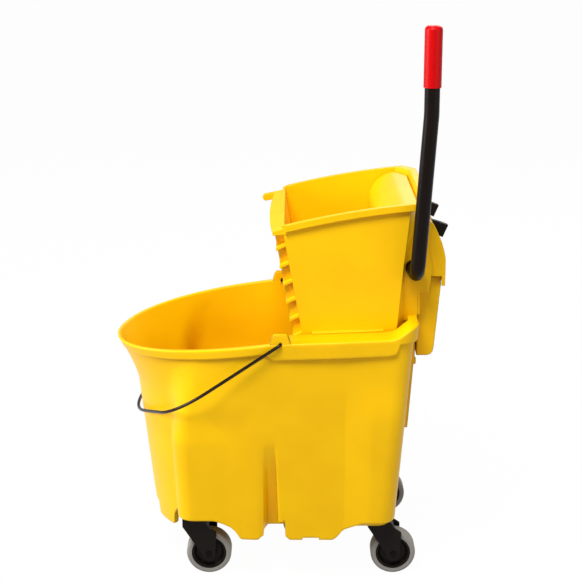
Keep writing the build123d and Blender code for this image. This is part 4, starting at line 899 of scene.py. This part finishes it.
def turned(name, profile, centre, body):
    angles = np.linspace(0, 2 * math.pi, TURN_STEPS, endpoint=False)
    ring_list = [np.stack([centre[0] + r * np.cos(angles), centre[1] + r * np.sin(angles),
                           np.full(TURN_STEPS, z)], axis=1) for r, z in profile]
    return yellow_piece(name, *capped(ring_list), body)


print("a turned piece has", TURN_STEPS, "sides")

# %% [markdown]
# Two lugs hold the ends of the bail. A pad on the rear wall takes the wringer's skirt, and it ends in a ledge
# and a web below the saddle. Inside, a boss stands over each caster stem. All of these are part of the
# bucket's moulding and are drawn apart because they are easier to shape so.

# %% Lugs, rear pad and bosses
SIDES = {"near": -1, "far": 1}
LUG_OUTLINE = [(-14.0, 426.0), (23.0, 426.0), (16.5, 446.0), (-7.5, 446.0)]
LUG_Y = (195.0, 204.6)
PAD_LOW_Z = 252.0
PAD_OUT = 11.0
PAD_HALF_WIDTH = 104.0
LEDGE_X = 230.0
LEDGE_Z = (365.0, 377.0)
WEB_X = 228.0
WEB_TOP_Z = 427.0
PAD_OUTLINE = [(rear_x(PAD_LOW_Z) - WALL, PAD_LOW_Z), (rear_x(PAD_LOW_Z) + PAD_OUT, PAD_LOW_Z),
               (rear_x(LEDGE_Z[0]) + PAD_OUT, LEDGE_Z[0]), (LEDGE_X, LEDGE_Z[0]), (LEDGE_X, LEDGE_Z[1]),
               (WEB_X, LEDGE_Z[1]), (WEB_X, WEB_TOP_Z), (rear_x(WEB_TOP_Z) - WALL, WEB_TOP_Z)]
BOSS_R = 13.5
BOSS_TOP_Z = 161.0
BOSS_ROUND = 2.0
BOSS_ROUND_MIDDLE = 0.6
BOSS_CENTRE_R = 1.0
BOSS_PROFILE = [(BOSS_R, SEAT_Z), (BOSS_R, BOSS_TOP_Z - BOSS_ROUND),
                (BOSS_R - BOSS_ROUND_MIDDLE, BOSS_TOP_Z - BOSS_ROUND_MIDDLE),
                (BOSS_R - BOSS_ROUND, BOSS_TOP_Z), (BOSS_CENTRE_R, BOSS_TOP_Z)]

for side, sign in SIDES.items():
    lug_y = [sign * y for y in LUG_Y]
    pushed(f"bail_lug_{side}", LUG_OUTLINE, lug_y, corner=5.0, edge=2.0, body="bucket")
    for end, stem in zip(("front", "rear"), STEM_X):
        turned(f"stem_boss_{end}_{side}", BOSS_PROFILE, (stem, sign * STEM_Y), body="bucket")
pushed("rear_pad", PAD_OUTLINE, (-PAD_HALF_WIDTH, PAD_HALF_WIDTH), corner=1.5, edge=1.5, body="bucket")
print("bucket's lugs, pad and bosses are on")

# %% [markdown]
# The wringer's skirt hangs behind the bucket's rear rim. On the real moulding it is a thick panel with a
# rounded lower corner, so a cover for its sides and back is put over the solid. A web on each side closes the
# slot between the skirt and the cheek that carries the shaft.

# %% Hook skirt's cover and webs
SKIRT_COVER = [(231.0, 381.2), (248.0, 381.2), (254.0, 383.3), (257.6, 388.5), (259.0, 396.0), (268.2, 503.0),
               (268.2, 518.5), (262.0, 518.5), (258.0, 516.0), (231.0, 516.0)]
SKIRT_HALF_WIDTH = 106.4
SKIRT_WEB = [(226.0, 456.0), (234.0, 456.0), (234.0, 516.0), (226.0, 516.0)]
SKIRT_WEB_Y = (104.0, 121.5)

pushed("skirt_back", SKIRT_COVER, (-SKIRT_HALF_WIDTH, SKIRT_HALF_WIDTH), corner=3.0, edge=0.8, body="wringer")
for side, sign in SIDES.items():
    web_y = [sign * y for y in SKIRT_WEB_Y]
    pushed(f"skirt_web_{side}", SKIRT_WEB, web_y, corner=1.0, edge=0.6, body="wringer")
print("skirt has its cover and webs")
